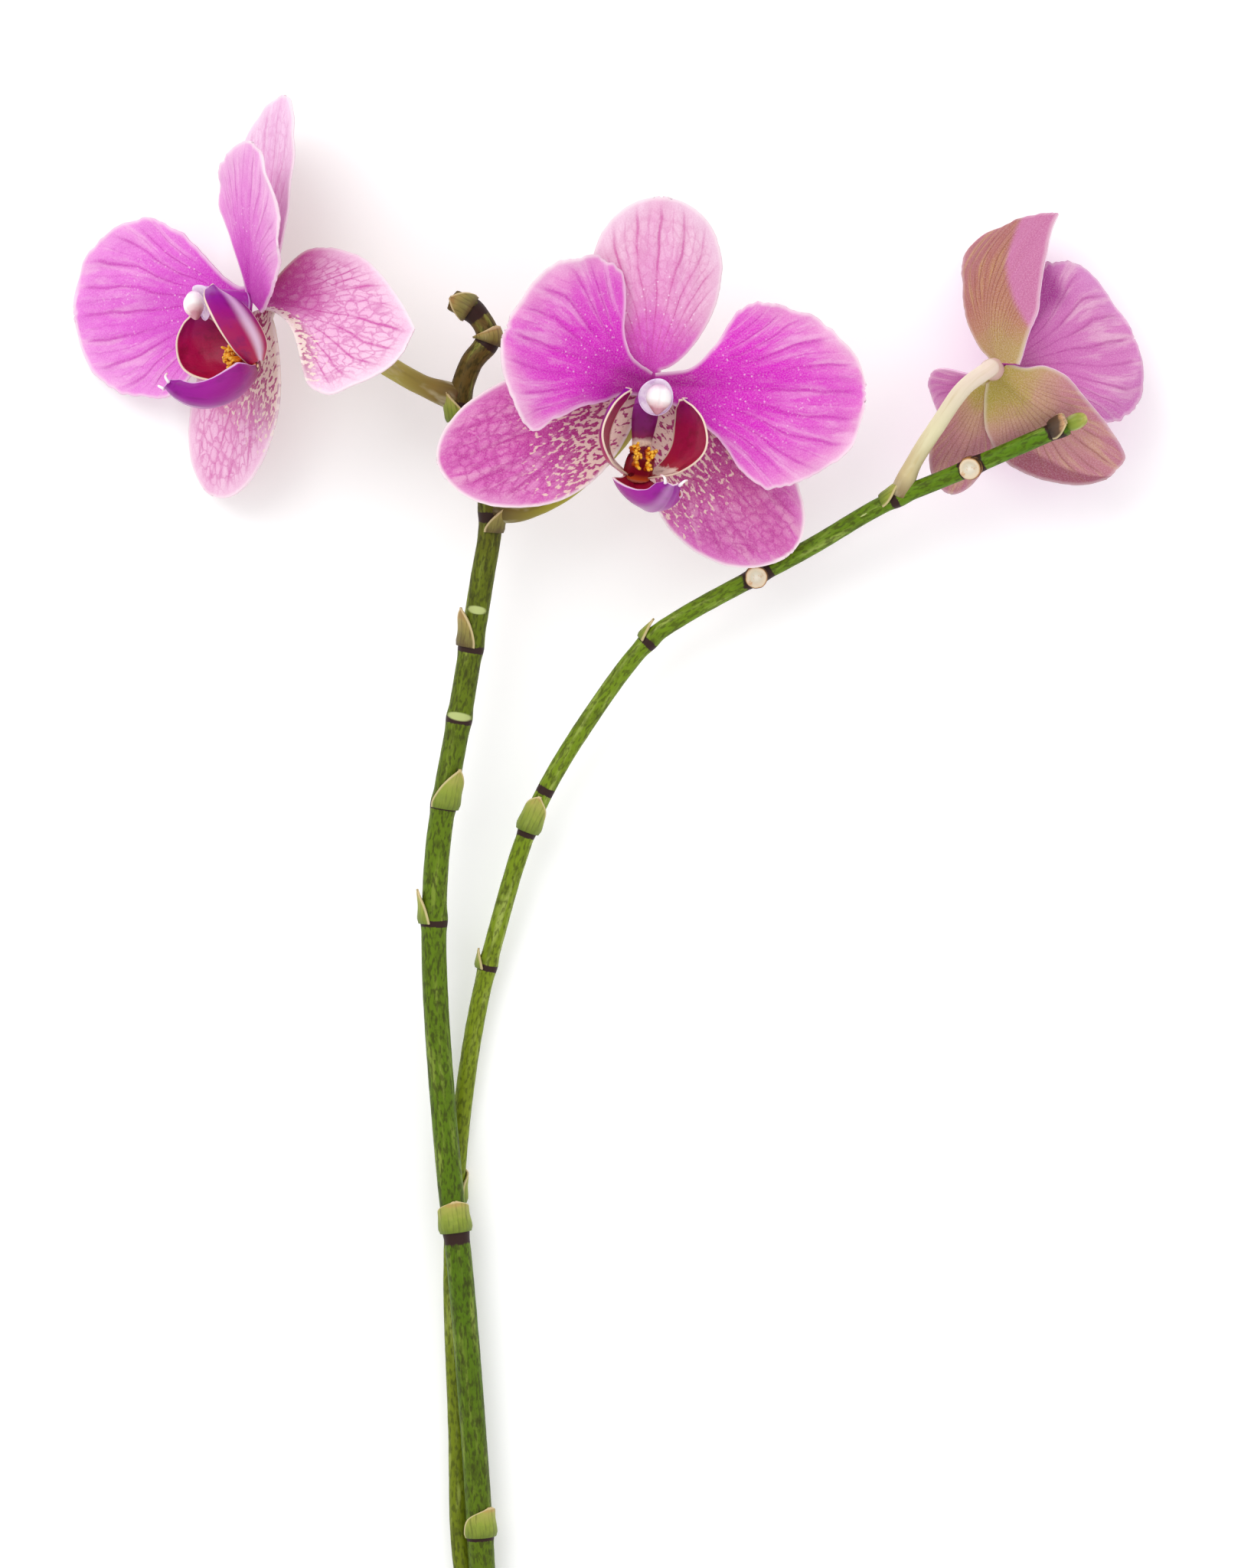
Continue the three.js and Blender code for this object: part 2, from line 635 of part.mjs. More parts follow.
const box = new THREE.Box3().setFromObject(place, true);
place.position.set(-(box.min.x + box.max.x) / 2, -(box.min.y + box.max.y) / 2, -box.min.z);

export default orchid;
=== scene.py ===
# A cut moth orchid spray with three flowers, lying on a pale surface.
import math
import random

import bmesh
import bpy
from mathutils import Matrix, Vector, noise
from mathutils.kdtree import KDTree


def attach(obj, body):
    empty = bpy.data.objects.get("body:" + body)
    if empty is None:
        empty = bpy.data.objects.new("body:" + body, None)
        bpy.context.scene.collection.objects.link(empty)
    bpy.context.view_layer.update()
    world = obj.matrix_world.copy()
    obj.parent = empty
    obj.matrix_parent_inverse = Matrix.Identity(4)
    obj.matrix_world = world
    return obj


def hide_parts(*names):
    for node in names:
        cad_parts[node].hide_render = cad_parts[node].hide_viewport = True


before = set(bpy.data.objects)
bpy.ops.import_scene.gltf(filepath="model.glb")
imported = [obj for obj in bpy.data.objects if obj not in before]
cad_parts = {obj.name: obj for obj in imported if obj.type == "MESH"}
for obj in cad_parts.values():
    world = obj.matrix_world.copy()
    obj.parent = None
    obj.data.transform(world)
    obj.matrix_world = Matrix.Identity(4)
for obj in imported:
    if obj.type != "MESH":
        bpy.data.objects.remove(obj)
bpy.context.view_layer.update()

# Camera: the spray lies down, so the eye is straight above it, far off with a long lens.
MM = 0.001
spray_zero = Vector((0.805, -0.305, 0.114))  # where the spray's own zero lies in the frame, mm
camera_data = bpy.data.cameras.new("camera")
camera_data.lens = 150
camera_data.sensor_width = 36
camera = bpy.data.objects.new("camera", camera_data)
camera.location = (spray_zero + Vector((3.96, 31.5, 1556))) * MM
bpy.context.scene.collection.objects.link(camera)
bpy.context.scene.camera = camera

# Main stem: the thicker of two living green flower stems, cut at its butt. It is ringed at every
# node by a dark line and a low swelling; its skin is mottled olive, with pale streaks of painted
# highlight and mottling darkened in part as painted shade.
main_radius_cut, main_radius_middle, main_radius_top = 3.15, 2.95, 2.6
node_swelling = 0.3
main_nodes = {
    "low sheath": 48,
    "middle sheath": 120.5,
    "small bract": 194,
    "front bract": 221.5,
    "ring scar": 242,
    "leafy bract": 259,
    "centre stalk": 291.5,
    "left stalk": 319,
    "top ring": 334,
    "tip bract": 343,
}
main_route = [
    (-29.7, -193.5, 3.15), (-30, -173.5, 4.55), (-30.5, -153, 7.05), (-33, -114.5, 8.55),
    (-35.9, -80, 9.45), (-37.9, -63, 9.85), (-41.1, -22, 12.5), (-41.6, -2, 13.8),
    (-40.5, 18, 15.2), (-35, 50, 18.2), (-30.1, 79.5, 20.8), (-28.2, 91.5, 22),
    (-28.6, 99.5, 22.6), (-35, 116, 24), (-35.3, 121.5, 24.4), (-32.6, 130, 25),
    (-28.6, 135.8, 25.4), (-31.4, 141.6, 25.8), (-37.5, 145.2, 26.2),
]


def smooth(value, low, high):
    """0 below low, 1 above high, and an even S between them."""
    t = min(max((value - low) / (high - low), 0), 1)
    return t * t * (3 - 2 * t)


def round_nose(edge, reach):
    """How thick a bar is near its end: 0 at the end, and 1 from a reach inwards."""
    return (1 - (1 - min(max(edge / reach, 0), 1)) ** 2) ** 0.5


class Line:
    """A smooth line through points: a place and a direction at each distance along it."""

    steps = 40

    def __init__(self, points):
        knots = [Vector(p) for p in points]
        knots = [2 * knots[0] - knots[1], *knots, 2 * knots[-1] - knots[-2]]
        self.places = []
        for p0, p1, p2, p3 in zip(knots, knots[1:], knots[2:], knots[3:]):
            d0, d1, d2 = ((b - a).length ** 0.5 for a, b in ((p0, p1), (p1, p2), (p2, p3)))
            start = ((p1 - p0) / d0 - (p2 - p0) / (d0 + d1) + (p2 - p1) / d1) * d1
            end = ((p2 - p1) / d1 - (p3 - p1) / (d1 + d2) + (p3 - p2) / d2) * d1
            for k in range(self.steps):
                t = k / self.steps
                self.places.append(
                    p1 * (2 * t**3 - 3 * t**2 + 1) + start * (t**3 - 2 * t**2 + t)
                    + p2 * (3 * t**2 - 2 * t**3) + end * (t**3 - t**2)
                )
        self.places.append(knots[-2])
        self.distances = [0.0]
        for a, b in zip(self.places, self.places[1:]):
            self.distances.append(self.distances[-1] + (b - a).length)
        self.length = self.distances[-1]

    def by_knots(self, share):
        """The place at a share of the way, counted in knots."""
        t = min(max(share, 0), 1) * (len(self.places) - 1)
        i = min(int(t), len(self.places) - 2)
        return self.places[i].lerp(self.places[i + 1], t - i)

    def at(self, distance):
        """The place at a distance along, in millimetres."""
        low, high = 0, len(self.distances) - 1
        while high - low > 1:
            middle = (low + high) // 2
            low, high = (middle, high) if self.distances[middle] <= distance else (low, middle)
        part = (distance - self.distances[low]) / (self.distances[high] - self.distances[low])
        return self.places[low].lerp(self.places[high], min(max(part, 0), 1))

    def frame(self, distance):
        """Centre, along, across and up at a distance."""
        reach = 0.6
        along = (self.at(distance + reach) - self.at(distance - reach)).normalized()
        across = along.cross(Vector((0, 0, 1))).normalized()
        return self.at(distance), along, across, across.cross(along)


def grow(rows, columns, shape, closed=False, facing=None):
    """A grid whose points are moved to shape(u, v), u from 0 to 1 along it and v from -1 to 1
    across. shape gives the place in mm and two marks that the patterns follow, "flat" in mm."""
    bm = bmesh.new()
    bm.loops.layers.uv.new("UVMap")
    flat = bm.verts.layers.float_vector.new("flat")
    mark = bm.verts.layers.float_vector.new("mark")
    bmesh.ops.create_grid(bm, x_segments=rows, y_segments=columns, size=1, calc_uvs=True)
    for vert in bm.verts:
        place, vert[flat], vert[mark] = shape((vert.co.x + 1) / 2, vert.co.y)
        vert.co = (place + spray_zero) * MM
    if closed:
        bmesh.ops.remove_doubles(bm, verts=bm.verts, dist=0.002 * MM)
        bmesh.ops.recalc_face_normals(bm, faces=bm.faces)
    if facing:
        bm.normal_update()
        if sum((face.normal for face in bm.faces), Vector()).dot(facing) < 0:
            bmesh.ops.reverse_faces(bm, faces=bm.faces)
    return bm


def finish_piece(name, bm, materials, slot, *nodes, wall=0, back=0):
    """Makes the grown shape an object of the spray, with a wall where it is a thin sheet."""
    mesh = bpy.data.meshes.new(name)
    bm.to_mesh(mesh)
    bm.free()
    for material in materials:
        mesh.materials.append(material)
    mesh.shade_smooth()
    piece = bpy.data.objects.new(name, mesh)
    bpy.context.scene.collection.objects.link(piece)
    if wall:
        solidify = piece.modifiers.new("wall", "SOLIDIFY")
        solidify.thickness = wall * MM
        solidify.offset = 0
        solidify.use_even_offset = False
        solidify.material_offset = back
        solidify.material_offset_rim = 0
    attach(piece, "root")
    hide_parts(*nodes)
    return piece


def tube(line, girth, rows, sides, mark, start=0):
    """A round bar along a line with a rounded end at each side. Its flat mark is its place on the
    bar when that is pulled straight."""
    def skin(u, v):
        distance = start + (line.length - start) * u
        angle = math.pi * v
        centre, along, across, up = line.frame(distance)
        radius = girth(distance)
        edge = min(distance - start, line.length - distance)
        radius *= round_nose(edge, min(radius * 0.35, 0.9))
        radius += 0.05 * noise.noise(centre * 0.4) * min(edge, 1)
        place = centre + (up * math.cos(angle) + across * math.sin(angle)) * radius
        flat = (radius * math.cos(angle), radius * math.sin(angle), distance)
        return place, flat, mark(distance, angle)

    return grow(rows, sides, skin, closed=True)


def colour(code):
    """An sRGB hex colour as the linear colour that the shader takes."""
    values = [int(code[i:i + 2], 16) / 255 for i in (0, 2, 4)]
    return (*((c / 12.92 if c < 0.04045 else ((c + 0.055) / 1.055) ** 2.4) for c in values), 1)


def add(material, kind, settings, inputs):
    """Adds a node with its settings and its inputs, each a value or a link."""
    tree = material.node_tree
    node = tree.nodes.new("ShaderNode" + kind)
    for key, value in settings.items():
        setattr(node, key, value)
    for key, value in inputs.items():
        if isinstance(value, bpy.types.NodeSocket):
            tree.links.new(value, node.inputs[key])
        else:
            node.inputs[key].default_value = value
    return node


def new_material(name, roughness, specular, **sockets):
    """A material and its surface shader, with what is the same all over set on its sockets."""
    material = bpy.data.materials.new(name)
    material.use_nodes = True
    surface = material.node_tree.nodes["Principled BSDF"]
    surface.inputs["Roughness"].default_value = roughness
    surface.inputs["Specular IOR Level"].default_value = specular
    for key, value in sockets.items():
        surface.inputs[key.replace("_", " ")].default_value = value
    return material, surface


def math_node(material, operation, a, b=0.0):
    return add(material, "Math", {"operation": operation}, {0: a, 1: b}).outputs[0]


def over(material, shade, code, share):
    """The shade with a share of one colour over it."""
    return add(material, "Mix", {"data_type": "RGBA"}, {
        0: share, 6: shade, 7: colour(code)}).outputs[2]


def parts(material, vector):
    return add(material, "SeparateXYZ", {}, {0: vector}).outputs


def joined(material, x, y, z=0.0):
    return add(material, "CombineXYZ", {}, {0: x, 1: y, 2: z}).outputs[0]


def ease(material, value, low, high, to_low=0.0, to_high=1.0):
    return add(material, "MapRange", {"interpolation_type": "SMOOTHSTEP"}, {
        "Value": value, "From Min": low, "From Max": high, "To Min": to_low, "To Max": to_high,
    }).outputs[0]


def ramp(material, stops, share):
    """The colour at a share of the way through colour stops."""
    node = add(material, "ValToRGB", {}, {0: share})
    while len(node.color_ramp.elements) < len(stops):
        node.color_ramp.elements.new(1)
    for element, (position, code) in zip(node.color_ramp.elements, stops):
        element.position, element.color = position, colour(code)
    return node.outputs[0]


def marks(material):
    """The two marks of each piece that the patterns follow."""
    return [add(material, "Attribute", {"attribute_name": name}, {}).outputs["Vector"]
            for name in ("flat", "mark")]


def clouds(material, vector, scale, detail, rough=0.5):
    inputs = {"Vector": vector, "Scale": scale, "Detail": detail, "Roughness": rough}
    return add(material, "TexNoise", {}, inputs).outputs[0]


def shifted(material, value, cloud, reach):
    """The value moved up or down by a cloud, over a reach in all."""
    swing = math_node(material, "MULTIPLY", math_node(material, "SUBTRACT", cloud, 0.5), reach)
    return math_node(material, "ADD", value, swing)


def coat(material, surface, shade, height=None, strength=0, depth=0):
    """Gives the surface its colour and, where it has one, a fine relief of a depth in mm."""
    links = material.node_tree.links
    links.new(shade, surface.inputs["Base Color"])
    if height:
        bump = add(material, "Bump", {}, {
            "Strength": strength, "Distance": depth * MM, "Height": height})
        links.new(bump.outputs[0], surface.inputs["Normal"])
    return material


def stretched(material, mark, across, along):
    """The flat mark with its units turned from mm to one patch across and one along."""
    scale = (1 / across, 1 / across, 1 / along)
    return add(material, "Mapping", {}, {"Vector": mark, "Scale": scale}).outputs[0]


def stem_skin(name, stops, length, dark="2e2c0a", pale="9dac4c"):
    """Living orchid stem, waxy and smooth: a satin gloss over green skin with long pale streaks
    that are painted highlight, dark streaky mottling that is partly painted shade, fine dark
    freckles, and a brown-purple ring at each node."""
    material, surface = new_material(name, 0.5, 0.16)
    flat, mark = marks(material)
    along = parts(material, flat)[2]
    masks = parts(material, mark)
    base = ramp(material, stops, math_node(material, "DIVIDE", along, length))
    streaks = clouds(material, stretched(material, flat, 1.6, 14), 1.0, 4.0)
    mottle = clouds(material, stretched(material, flat, 2.4, 5), 1.0, 6.0, 0.7)
    freckle = clouds(material, stretched(material, flat, 0.7, 1.8), 1.0, 2.0)
    # Pale streaks along the stem: painted highlight, as light runs along a waxy stem.
    shade = over(material, base, pale, ease(material, streaks, 0.5, 0.75, 0, 0.5))
    # Dark mottling: the stem's own mottle, laid on darker as painted shade for its shaded sides.
    shade = over(material, shade, dark, ease(material, mottle, 0.46, 0.68, 0, 0.5))
    shade = over(material, shade, dark, ease(material, freckle, 0.46, 0.64, 0, 0.62))
    ring = shifted(material, masks[0], mottle, 0.9)
    shade = over(material, shade, "33201b", ease(material, ring, 0.42, 0.62))
    shade = over(material, shade, "b4bf7a", ease(material, masks[1], 0.35, 0.65))
    return coat(material, surface, shade, streaks, 0.35, 0.25)


main_line = Line(main_route)
# Dark rings as (distance along, width), pale leaf scars as (distance along, angle, width).
main_dark = [(47, 1.2), (118.3, 2.2), (193, 1.0), (221, 1.1), (241.5, 0.9), (258.5, 1.0),
             (290, 1.5), (317, 1.4), (333.5, 1.0), (341.5, 1.8)]
main_pale = [(242.6, 0, 3.2), (268, 0, 2.6)]


def node_girth(distance, nodes):
    nearest = min(abs(node - distance) for node in nodes)
    return node_swelling * (1 - smooth(nearest, 0, 3.5))


def main_girth(distance):
    share, turn = distance / main_line.length, 0.6
    if share < turn:
        base = main_radius_cut + (main_radius_middle - main_radius_cut) * share / turn
    else:
        base = main_radius_middle + (main_radius_top - main_radius_middle) * (share - turn) / 0.4
    return base + node_girth(distance, main_nodes.values())


def ring_marks(rings, scars):
    """How dark the ring is here, and how pale a leaf scar on the upper side is."""
    def mark(distance, angle):
        dark = max(math.exp(-((distance - at) / width) ** 2) for at, width in rings)
        pale = max(math.exp(-((distance - at) / 1.1) ** 2 - ((angle - turn) * 2.5 / reach) ** 2)
                   for at, turn, reach in scars)
        return dark, pale, 0
    return mark


finish_piece(
    "main_stem_skin",
    tube(main_line, main_girth, 640, 40, ring_marks(main_dark, main_pale)),
    [stem_skin("orchid stem, olive", [
        (0, "5c6e10"), (0.3, "4e6c06"), (0.6, "5e780e"), (0.8, "5c660e"), (0.86, "5a4e16"),
        (1, "644c26"),
    ], main_line.length)],
    "main_stem", "main_stem")

# Side stem: the thinner stem, a branch from the node near the butt. It is a fresher green with pale
# streaks of painted highlight, and carries the right flower and the scars of two flowers cut off
# it.
side_radius_low, side_radius_tip = 2.25, 2.0
side_low = side_radius_low + 1.3
side_nodes = {
    "low sheath": 107.5,
    "small bract": 163.5,
    "long sheath": 198,
    "point": 251,
    "low stub": 280.5,
    "stalk": 319,
    "high stub": 338,
    "end": 361,
}
side_route = [
    (-30, -173.5, 4.55), (-35, -155, side_low + 0.2), (-36.4, -120, side_low),
    (-37.5, -83, side_low), (-36.1, -55, side_low), (-32.2, -26, 5.4), (-27.2, -4.5, 7),
    (-17.6, 25.3, 10.6), (-3.3, 49.4, 14), (9.2, 65.4, 16.5), (16.8, 70.8, 17.4),
    (46.9, 87.1, 19.5), (64.3, 97.2, 23), (81.6, 104.4, 28), (106.9, 115.2, 35),
]
side_line = Line(side_route)


def side_girth(distance):
    base = side_radius_low + (side_radius_tip - side_radius_low) * distance / side_line.length
    return base + node_girth(distance, side_nodes.values())


side_dark = [(109, 1.6), (163, 0.9), (196.6, 1.3), (207.5, 1.2), (250.5, 1.0), (279.2, 2.6),
             (283.4, 1.3), (318, 1.2), (336.4, 1.8), (340.2, 1.2), (359.5, 2.4)]
side_pale = [(310, 0, 0.01)]  # a scratch, thin as a thread
side_start = 2.5  # it starts inside the main stem
finish_piece(
    "side_stem_skin",
    tube(side_line, side_girth, 640, 36, ring_marks(side_dark, side_pale), start=side_start),
    [stem_skin("orchid stem, fresh green", [
        (0, "66720e"), (0.4, "7a8c18"), (0.7, "6c8814"), (0.9, "5e800e"), (1, "547c0c"),
    ], side_line.length, dark="3c420a", pale="b6c26a")],
    "side_stem", "side_stem")

# Flowers: each has its own frame, with Z out of its face, Y to its dorsal sepal and X to the
# right as the face is seen. Five tepals stand round the column, two petals in front.
layer_step = 1.6
tepal_reach = 3.6
tepal_wall = 0.55
tepal_root = 2.8  # how far each tepal runs on inwards, under the column


def flower_frame(at, facing, up):
    out = Vector(facing).normalized()
    right = Vector(up).cross(out).normalized()
    turn = Matrix((right, out.cross(right), out)).transposed()
    return Matrix.Translation(Vector(at)) @ turn.to_4x4()


def outline_share(u, widest=0.55, claw=0.8, tip=2, foot=0.16):
    """Share of a tepal's half width at u: a narrow claw, the widest place and a round tip."""
    if u < widest:
        return foot + (1 - foot) * math.sin(math.pi / 2 * max(u, 0) / widest) ** claw
    t = min((u - widest) / (1 - widest), 1)
    return max((1 - t**tip) ** (1 / tip), 0.05)


def drawn_edge(points):
    """One side of a tepal as a smooth line through (u, share of the half width)."""
    places = Line([(u, share, 0) for u, share in points]).places

    def share_at(u):
        for a, b in zip(places, places[1:]):
            if u <= b.x:
                t = min(max((u - a.x) / max(b.x - a.x, 1e-6), 0), 1)
                return max(a.y + (b.y - a.y) * t, 0.04)
        return max(places[-1].y, 0.04)
    return share_at


def tepal_sheet(matrix, seed, length, left, right, curl=0, cup=0, sway=0, ruffle=0.5,
                lipward=0, left_edge=None, right_edge=None, patch=None,
                **outline):
    """A tepal grown from its claw: an arched midrib, edges that lift, a groove along the middle
    and a softly ruffled rim. Its marks are how far out it is, its vein and its spots."""
    turn = math.radians(curl if abs(curl) >= 1 else 1)
    radius = length / (2 * math.sin(turn / 2))
    rows, columns, root = 124, 84, -tepal_root / length
    cut = 300  # stations along the rim, for the distance to it
    edges = [drawn_edge(edge) if edge else lambda u: outline_share(u, **outline)
             for edge in (right_edge, left_edge)]
    stations = [root + (1 - root) * (1 - math.cos(math.pi * k / cut)) / 2 for k in range(cut + 1)]
    rim = KDTree(2 * len(stations) + 21)
    for u in stations:
        rim.insert((u * length, left * edges[1](u), 0), 0)
        rim.insert((u * length, -right * edges[0](u), 0), 0)
    for k in range(21):
        rim.insert((length, left * edges[1](1) * k / 20 - right * edges[0](1) * (1 - k / 20), 0), 0)
    rim.balance()

    def surface(s, v):
        u = root + (1 - root) * (1 - math.cos(math.pi * s)) / 2
        share = edges[v > 0](u)
        side = left if v > 0 else right
        wave = noise.noise(Vector((u * 9, 2.5 * math.copysign(1, v), seed)))
        wave += 0.7 * noise.noise(Vector((u * 26, 5 * math.copysign(1, v), seed)))
        across = v * side * share * (1 + 0.05 * wave * ruffle * abs(v) ** 3)
        x, y = u * length, across
        edge = rim.find((x, v * side * share, 0))[2]
        edge_noise = noise.noise(Vector((x * 0.16, y * 0.16, seed + 7)))
        lift = cup * v * v * share
        lift += ruffle * 1.6 * edge_noise * math.exp(-edge / 4.5) * smooth(u, 0.15, 0.5)
        lift += 0.45 * noise.noise(Vector((x * 0.07, y * 0.1, seed + 3))) * smooth(edge, 0, 5)
        lift -= 0.55 * math.exp(-(y / 1.3) ** 2) * (1 - smooth(u, 0.7, 0.95))
        ridge = math.cos(2 * math.pi * y / 4.2) * 0.1 * smooth(u, 0.1, 0.3)
        lift += ridge * (1 - smooth(abs(v), 0.5, 0.9))
        angle = turn * (u - 0.5)
        stretch = 1 + 0.015 * ruffle * noise.noise(Vector((v * 4, seed, 1))) * max(u, 0) ** 6
        place = Vector((
            radius * (math.sin(angle) + math.sin(turn / 2)) * stretch - lift * math.sin(angle),
            across + sway * 4 * u * (1 - u),
            radius * (math.cos(turn / 2) - math.cos(angle)) + lift * math.cos(angle),
        ))
        tone = 0.62 * max(u, 0) + 0.42 * abs(v) ** 1.7 * smooth(u, 0.05, 0.4)
        half_width, outer = 0.5 * (left + right), smooth(u, 0.3, 0.9)
        fan = y / half_width * ((1 - outer) / (max(u, 0) * 1.5 + 0.16) ** 1.1 + outer * 0.62)
        spots = (1 - smooth(u, 0.05, 0.8)) * (0.62 + 0.38 * lipward * v) if lipward else 0
        if patch:
            spots = patch(u, v, y)
        return matrix @ place, (x, y, edge), (tone, fan, spots)

    return grow(rows, columns, surface)


def tepal_skin(name, stops, vein="c018a8", veins=0.7, count=11, net=0.12, spot=None, speck=0.6,
               rim=0.55, blush=("f2c4e2", 0.5), patch=None):
    """Orchid tepal: soft, finely celled tissue with almost no gloss. Colour runs from a deep claw
    to a pale rim, over a fan of darker veins, a fine net between them and pale freckles."""
    material, surface = new_material(name, 0.6, 0.1)
    flat, mark = marks(material)
    x, y, edge = parts(material, flat)
    tone, fan, spots = parts(material, mark)
    sheet = joined(material, x, y)

    def times(a, b):
        return math_node(material, "MULTIPLY", a, b)

    broad, grain = clouds(material, sheet, 0.09, 3.0, 0.6), clouds(material, sheet, 2.6, 4.0, 0.8)
    place = shifted(material, tone, broad, 0.4)
    shade = ramp(material, stops, place)
    lengthwise = joined(material, times(x, 0.05), times(fan, 8.0))
    streak = clouds(material, lengthwise, 1.0, 5.0, 0.65)
    outer = ease(material, tone, 0.2, 0.55)
    shade = over(material, shade, blush[0],
                 times(ease(material, streak, 0.46, 0.66, 0, blush[1]), outer))
    # Veins: thin lines at equal steps of the fan, and finer ones between them further out.
    line = shifted(material, times(fan, count / 2), clouds(material, sheet, 0.1, 1.0), 0.45)
    far = math_node(material, "PINGPONG", line, 0.5)
    main_vein = ease(material, far, 0.01, 0.13, 1, 0)
    soft = ease(material, far, 0.0, 0.3, 0.3, 0)
    fork = shifted(material, times(line, 2.0), clouds(material, sheet, 0.22, 2.0), 0.7)
    fork = math_node(material, "PINGPONG", fork, 0.5)
    fine_vein = times(ease(material, fork, 0.01, 0.12, 0.4, 0), ease(material, tone, 0.3, 0.55))
    all_veins = math_node(material, "MAXIMUM", main_vein, math_node(
        material, "MAXIMUM", fine_vein, soft))
    fade = ease(material, edge, 0.8, 5.0, 0.1, 1)
    drawn = times(all_veins, ease(material, streak, 0.32, 0.54, 0.35, 1))
    shade = over(material, shade, vein, times(drawn, times(fade, veins)))
    # Net: fine veins cross between the long ones and close the tissue into small drawn-out cells.
    wobble = clouds(material, sheet, 0.5, 2.0)
    cells = joined(material, shifted(material, times(x, 0.34), wobble, 1.1),
                   shifted(material, times(y, 0.52), wobble, 1.1))
    from_wall = add(material, "TexVoronoi", {"feature": "DISTANCE_TO_EDGE"}, {
        "Vector": cells, "Scale": 1.0}).outputs[0]
    middle = ease(material, from_wall, 0.12, 0.45, 0, net * 0.6)
    shade = over(material, shade, blush[0], middle)
    wall = times(ease(material, from_wall, 0.0, 0.16, net, 0), fade)
    shade = over(material, shade, vein, wall)
    # Patch colour over the spots mark: tissue colour on most backs, painted fold shade on one
    # sepal.
    if patch:
        patch_and_fold_shade = shifted(material, spots, streak, times(spots, 0.5))
        shade = over(material, shade, patch, patch_and_fold_shade)
    if spot:
        # Blotches near the lip, drawn out along the sepal: wine marks with cream between them.
        blots = joined(material, times(x, 0.62), times(y, 1.2), 3.0)
        pattern = clouds(material, blots, 1.0, 1.5)
        shade = over(material, shade, "9a1654", ease(material, spots, 0.15, 0.75, 0, 0.75))
        amount = math_node(material, "ADD", pattern, times(spots, 0.3))
        cream = times(ease(material, amount, 0.64, 0.71, 0, 0.9), ease(material, spots, 0.03, 0.2))
        shade = over(material, shade, spot, cream)
    freckles = add(material, "TexVoronoi", {}, {"Vector": sheet, "Scale": 0.8}).outputs[0]
    near_claw = times(ease(material, tone, 0.12, 0.26), ease(material, tone, 0.3, 0.7, speck, 0))
    dots = times(ease(material, freckles, 0.08, 0.26, 1, 0), ease(material, broad, 0.42, 0.56))
    shade = over(material, shade, "fbd6f0", times(dots, near_claw))
    shade = over(material, shade, "fbdcf0", ease(material, grain, 0.42, 0.72, 0, 0.22))
    shade = over(material, shade, vein, ease(material, grain, 0.3, 0.55, 0.18, 0))
    pale_rim = shifted(material, edge, grain, 0.8)
    shade = over(material, shade, "fbeff0", ease(material, pale_rim, 0.0, 1.1, rim, 0))
    relief = math_node(material, "ADD", times(grain, 0.5), times(main_vein, -0.05))
    return coat(material, surface, shade, relief, 0.35, 0.14)


petal_back = tepal_skin(
    "petal back, rosy", [(0, "c24fae"), (0.3, "cf76bb"), (0.7, "d78fc1"), (1, "dfaecb")],
    vein="a63d8e", veins=0.4, net=0.1, speck=0)
sepal_back = tepal_skin(
    "sepal back, dusky rose", [(0, "b3a05c"), (0.3, "b8868a"), (0.7, "c88fa8"), (1, "d3a0bd")],
    vein="8a5a55", veins=0.4, net=0.1, speck=0, blush=("cfa98c", 0.5))


def tepal(name, flower, is_petal, front, back, depth=layer_step, turn=0, rise=0, twist=0, **shape):
    level = layer_step / 2 if is_petal else -depth
    angle = math.radians(turn)
    spot = Vector((math.cos(angle) * tepal_reach, math.sin(angle) * tepal_reach, level))
    matrix = (flower @ Matrix.Translation(spot) @ Matrix.Rotation(angle, 4, "Z")
              @ Matrix.Rotation(math.radians(-rise), 4, "Y")
              @ Matrix.Rotation(math.radians(twist), 4, "X"))
    seed = sum(ord(letter) for letter in name) % 97
    finish_piece(name + "_tissue", tepal_sheet(matrix, seed, **shape), [front, back],
                 "petal" if is_petal else "sepal", name, wall=tepal_wall, back=1)


# Centre flower: it faces the eye. Broad magenta petals, a paler dorsal sepal and two lateral
# sepals with cream blotches beside the lip.
centre = flower_frame((9.6, 123.8, 40.5), (0.2, -0.27, 0.93), (0, 1, 0))
petal_stops = [(0, "a8068c"), (0.18, "c808b2"), (0.36, "d61ec0"), (0.58, "dc58c6"),
               (0.75, "e48acb"), (1, "eec2dc")]
tepal("centre_left_petal", centre, True,
      tepal_skin("petal front, magenta, left", petal_stops, veins=0.7),
      petal_back, turn=158, rise=14, twist=8,
      length=37.5, left=20, right=22.5, curl=-14, ruffle=0.8,
      right_edge=[(-0.08, 0.14), (0.1, 0.2), (0.215, 0.38), (0.32, 0.76), (0.39, 0.96), (0.5, 1.02),
                  (0.62, 1.02), (0.8, 0.87), (0.93, 0.58), (1, 0.15)],
      left_edge=[(-0.08, 0.14), (0.1, 0.24), (0.18, 0.36), (0.32, 0.52), (0.46, 0.74), (0.57, 0.98),
                 (0.63, 0.95), (0.73, 0.82), (0.84, 0.62), (0.94, 0.4), (1, 0.12)])
